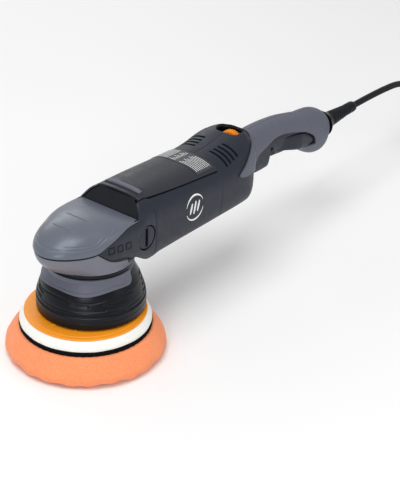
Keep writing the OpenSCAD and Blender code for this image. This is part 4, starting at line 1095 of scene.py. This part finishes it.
xs, ts = steps(119, 143, 16), steps(0, 1, 90)
label = shell("label_band", on_cover(xs, ts, 0.32), on_cover(xs, ts, 0.05), "label_film")
rules = []
for k in range(9):
    rx = np.array([121.4, 121.95]) + 2.4 * k
    for t0, t1 in ((0.05, 0.42), (0.5, 0.62), (0.66, 0.95)):
        tt = steps(t0, t1 - 0.03 * (k % 3), 16)
        rules.append(shell_data(on_cover(rx, tt, 0.4), on_cover(rx, tt, 0.2)))
label_rules = piece("label_rules", *joined(rules), "white_print")
done(label, "label_film", "rating_plate")
done(label_rules, "white_print")

BADGE = np.array((105, 114))


def ribbon_data(centres, halves):
    """A flat ribbon on the left side along centres (x, z), as wide as halves say."""
    g = np.gradient(centres, axis=0)
    n = np.stack([-g[:, 1], g[:, 0]], -1) / np.linalg.norm(g, axis=1)[:, None]
    rows = centres + n * (np.array([1, -1])[:, None, None] * halves[:, None])
    return shell_data(*(on_side(rows[..., 0], rows[..., 1], -1, proud=proud) for proud in (0.28, -0.3)))


badge = []
moon = 0.85 * np.sin(steps(0.15, math.pi - 0.15, 40))
for a0, a1 in ((20, 165), (200, 345)):
    a = steps(a0, a1, 40)
    badge.append(ribbon_data(BADGE + 12.5 * np.stack([cosd(a), sind(a)], -1), moon))
t = steps(-1, 1, 12)
for k in (-1, 0, 1):
    leaning = np.stack([5.2 * k + 1.6 * t, (6.2 - abs(k)) * t], -1)
    badge.append(ribbon_data(BADGE + leaning, 1.15 - 0.55 * t**2))
side_badge = piece("side_badge", *joined(badge), "white_print")
done(side_badge, "white_print", "emblem")

# ---- Rear housing, grip ----


def shell_depth(x):
    """How far the rear halves lie below the grip's surface."""
    return 1.6 * np.clip((x - 194) / 24, 0, 1)


handle_x = np.concatenate([
    steps(REAR_SEAM + 0.2, 196, 40), steps(197, 252, 62), [OPEN_X0], steps(254, POCKET_X, 54)[:-1],
    [POCKET_X], steps(313, OPEN_X1, 20), steps(332, 352, 20), steps(353, REAR_END, 18),
])
handle_x = np.unique(np.round(handle_x, 3))
LOW_COLS, MID_COLS, TOP_COLS = 14, 22, 52


def handle_angles(xs, top_angle, opening):
    """Column angles: underneath to the pocket's edge, on to the opening's edge, on to the top."""
    inside = (xs >= OPEN_X0) & (xs <= OPEN_X1)
    edge_z = np.where(xs < OPEN_X0, at(grip_edge, xs), np.where(inside, at(opening, xs), 91.0))
    j0 = angle_at(xs, edge_z)
    pocket = angle_at(xs, POCKET_Z)
    j1 = np.where(xs >= POCKET_X, pocket, gathered(xs, -90 + 0.35 * (spread(xs, j0) + 90)))
    cols = []
    for lo, hi, ts in (
        (-90.0 + 0 * xs, j1, steps(0, 1, LOW_COLS)[:-1]),
        (j1, j0, steps(0, 1, MID_COLS)[:-1]),
        (j0, top_angle, steps(0, 1, TOP_COLS)),
    ):
        q0, q1 = spread(xs, lo), spread(xs, hi)
        cols += [gathered(xs, q0 + (q1 - q0) * t) for t in ts]
    return np.stack(cols, 1)


def handle_grid(xs, angles, inset, side):
    """One half of the handle: its points stop just short of the seam."""
    p = body_point(xs[:, None], angles, inset[:, None])
    p[..., 1] = np.minimum(p[..., 1], -0.22)
    return p * (1, -side, 1)


def keep_cells(xs, grip=False):
    """The cells of a half: not in the trigger's opening, and for the grip not below its edge."""
    mids = (xs[1:] + xs[:-1]) / 2
    keep = np.ones((len(mids), LOW_COLS + MID_COLS + TOP_COLS), bool)
    opening = (mids > OPEN_X0) & (mids < OPEN_X1)
    keep[opening, : LOW_COLS + MID_COLS] = False
    keep[opening & (mids > POCKET_X), :LOW_COLS] = True
    if grip:
        keep[mids < OPEN_X0, : LOW_COLS + MID_COLS] = False
    return keep


def screw_wells(first_x=0):
    return [cylinder_data((x, 6.8, z), (x, 60, z), SCREW_WELL_R, 40) for x, z in screw_places if x > first_x]


ang = handle_angles(handle_x, 90.0 + 0 * handle_x, opening_edge)
depth = shell_depth(handle_x)
tuck = 0.5 * np.clip((REAR_SEAM + 1.6 - handle_x) / 1.4, 0, 1) ** 2
for side, hand in SIDES:
    walls = (handle_grid(handle_x, ang, depth + inset, side) for inset in (tuck, WALL))
    half = shell("rear_housing_" + hand, *walls, "slate_plastic", keep_cells(handle_x))
    tools = [block_data(193.5, 212.5, -13.5, 13.5, 120, 180, 6)]
    for k in range(4):
        x0 = 158.6 + 5.8 * k
        ends = sorted((side * (8.6 + 0.5 * k), side * (31.5 - 0.5 * k)))
        tools.append(block_data(x0, x0 + 2.9, *ends, 122.5, 170, 1.3))
    cut(half, tools + (screw_wells() if side > 0 else []))
    bevel(half, 0.3)
    done(half, "slate_plastic", "rear_half_" + hand)

# the dark tray the wheel stands in: a floor with a slot for the wheel, its rim slightly raised
tx, ty = np.meshgrid(steps(192.6, 213.4, 40), steps(-14.4, 14.4, 48), indexing="ij")
gap = np.maximum(np.abs(tx - 203) - 9.9, np.abs(ty) - 13.9)
rise = np.clip((gap + 0.9) / 0.9, 0, 1) ** 2
tray_z = 141.4 + 1.2 * rise + 0.25 * np.cos((tx - 203) * 1.6) * (np.abs(ty) > 9)
slot_cells = np.abs(tx[:-1, :-1] + 0.26 - DIAL_X) < 4.4
tray = shell("dial_tray", xyz(tx, ty, tray_z), xyz(tx, ty, tray_z - 1.4), "black_plastic", ~slot_cells)
bevel(tray, 0.2)
done(tray, "black_plastic")

grip_x = handle_x[(handle_x >= 173.4) & (handle_x <= 361.5)]
grip_x = np.unique(np.round(np.concatenate([grip_x, steps(173.4, GRIP_TOP, 92)]), 3))
over_edge = angle_at(grip_x, at(grip_edge, grip_x)) + 3
front = np.where(grip_x >= GRIP_TOP, 90.0, np.maximum(at(grip_front, grip_x), over_edge))
ang = handle_angles(grip_x, front, grip_opening)
depth = shell_depth(grip_x)
# the overmould thins a little at the rear bulge
dip = 0.35 * np.exp(-(((grip_x - 318) / 5) ** 2))
for side, hand in SIDES:
    walls = (handle_grid(grip_x, ang, depth + inset, side) for inset in (dip - 1.75, -0.1))
    grip = shell("soft_grip_" + hand, *walls, "grey_rubber", keep_cells(grip_x, True))
    if side > 0:
        cut(grip, screw_wells(330))
    bevel(grip, 0.7, 3)
    done(grip, "grey_rubber", "grip_" + hand)

# ---- Speed wheel, trigger, lock button ----

TEETH, STEPS_PER_TOOTH = 30, 10
c = TEETH * STEPS_PER_TOOTH
a = np.arange(c) * 2 * math.pi / c
tooth = np.clip(np.cos(a * TEETH) * 1.8 + 0.2, -1, 1)
wheel_profile = (
    (0.1, -2.4), (7.6, -2.4), (8.0, -2.7), (8.0, -3.5), (11.5, -3.5), (12.7, -3.3), (13.35, -2.6), (13.4, 0),
    (13.35, 2.6), (12.7, 3.3), (11.5, 3.5), (4, 3.5), (3, 3.5), (2.9, 6.4), (0.1, 6.4),
)
rings, wheel_faces = [], []
for i, (r, h) in enumerate(wheel_profile):
    rr = r + (0.6 * tooth if r > 12.6 else 0 * a)
    rings.append(xyz(DIAL_X + h, rr * np.cos(a), DIAL_Z + rr * np.sin(a)))
    if i:
        first, second = (i - 1) * c, i * c
        wheel_faces += [(first + j, first + (j + 1) % c, second + (j + 1) % c, second + j) for j in range(c)]
wheel_faces += [tuple(range(c)), tuple(range(i * c, (i + 1) * c))[::-1]]
dial = piece("speed_wheel", np.array(rings), wheel_faces, "orange_plastic", 30)
done(dial, "orange_plastic", "speed_dial", body="speed_dial")

PADDLE_HALF, PADDLE_SHAPE = 10.5, 0.62
xs = np.concatenate([[254.4, 254.7, 255.4, 256.6], steps(258, 326.5, 60), [327.6, 328.2, 328.5]])


def paddle(inset, tuck_in=0.0):
    """The trigger's trough, open at the top. tuck_in draws it in at its ends."""
    b = steps(0, 180, 72)
    x = xs[:, None]
    lo = at(trigger_bottom, x) + inset + tuck_in
    hi = at(trigger_top, x)
    y = -(PADDLE_HALF - inset - tuck_in) * np.sign(cosd(b)) * np.abs(cosd(b)) ** PADDLE_SHAPE
    return xyz(x, y, hi - (hi - lo) * np.abs(sind(b)) ** PADDLE_SHAPE)


end_round = np.clip(np.maximum((256.6 - xs) / 2.2, (xs - 326.5) / 2), 0, 1)[:, None]
parts = [shell_data(paddle(0, 0.9 * end_round**2), paddle(2.0))]
# a plate closes it at each end
for row, ends in ((0, (254.4, 256.4)), (-1, (326.5, 328.5))):
    y, z = paddle(0.6)[row, :, 1:].T
    parts.append(prism_data(*(xyz(x, y, z) for x in ends)))
# cheeks that fill the rear end of the opening on both sides
x = steps(274, 326.8, 50)[:, None]
up_down = steps(-1, 1, 12)
grow = ease(np.clip((x - 274) / 36, 0, 1))
lo = at(trigger_bottom, x) + 0.5 + 5 * (1 - grow)
hi = np.maximum(at(opening_edge, x) - 1.0 - 0.08 * np.maximum(321 - x, 0), lo + 0.5)
z = lo + (hi - lo) * (1 + up_down) / 2
reach = 9.7 + 5.7 * grow * (1 - 0.2 * up_down**4)
for side in (-1, 1):
    parts.append(shell_data(xyz(x, side * reach, z), xyz(x, side * 8.5, z)))
lever = piece("trigger_paddle", *joined(parts), "slate_plastic")
cut(lever, [cylinder_data((BUTTON_X, -20, BUTTON_Z), (BUTTON_X, 0, BUTTON_Z), BUTTON_HOLE_R, 48)])
bevel(lever, 0.35)
done(lever, "slate_plastic", "trigger", body="trigger")

button_profile = [(0.02, 0), (3.9, 0), (3.9, 4.6), (3.3, 5.3), (1.6, 5.25), (1.2, 5.0), (0.02, 4.95)]
v, f = revolved_data(rounded(button_profile, 0.35, 3), 64)
button_points = xyz(BUTTON_X + v[:, 0], -7.0 - v[:, 2], BUTTON_Z + v[:, 1])
button = piece("lock_button_cap", button_points, f, "black_plastic")
done(button, "black_plastic", "lock_button", body="lock_button")

# ---- Floor, light ----

floor_mesh = bpy.data.meshes.new("floor")
floor_mesh.from_pydata([(-6, -6, 0), (8, -6, 0), (8, 8, 0), (-6, 8, 0)], [], [(0, 1, 2, 3)])
floor = bpy.data.objects.new("floor", floor_mesh)
scene.collection.objects.link(floor)
k = Looks("floor", 0.9, specular=0.1)
k.colour(k.mixed(k.noise(3, 3), tone(247, 247, 247), tone(249, 249, 249)))
floor_mesh.materials.append(MATERIALS["floor"])

world = bpy.data.worlds.new("studio")
scene.world = world
world.use_nodes = True
background = world.node_tree.nodes["Background"]
background.inputs["Color"].default_value = (1, 1, 1, 1)
background.inputs["Strength"].default_value = 0.52


def lamp(name, place, target, size, power):
    light = bpy.data.lights.new(name, "AREA")
    light.shape, light.size, light.size_y, light.energy = "RECTANGLE", *size, power
    obj = bpy.data.objects.new(name, light)
    obj.location = place
    obj.rotation_euler = (Vector(target) - Vector(place)).to_track_quat("-Z", "Y").to_euler()
    scene.collection.objects.link(obj)


lamp("key", (-0.35, -0.1, 1.7), (0.05, 0, 0.1), (1.1, 0.9), 15)
lamp("front", (-1.35, -0.75, 0.62), (0, 0, 0.1), (0.45, 0.7), 5.5)
lamp("side", (0.7, -1.7, 0.9), (0.15, 0, 0.1), (0.9, 0.5), 2.5)
lamp("rear", (0.9, 1.4, 0.9), (0.1, 0, 0.12), (1.0, 0.6), 4)
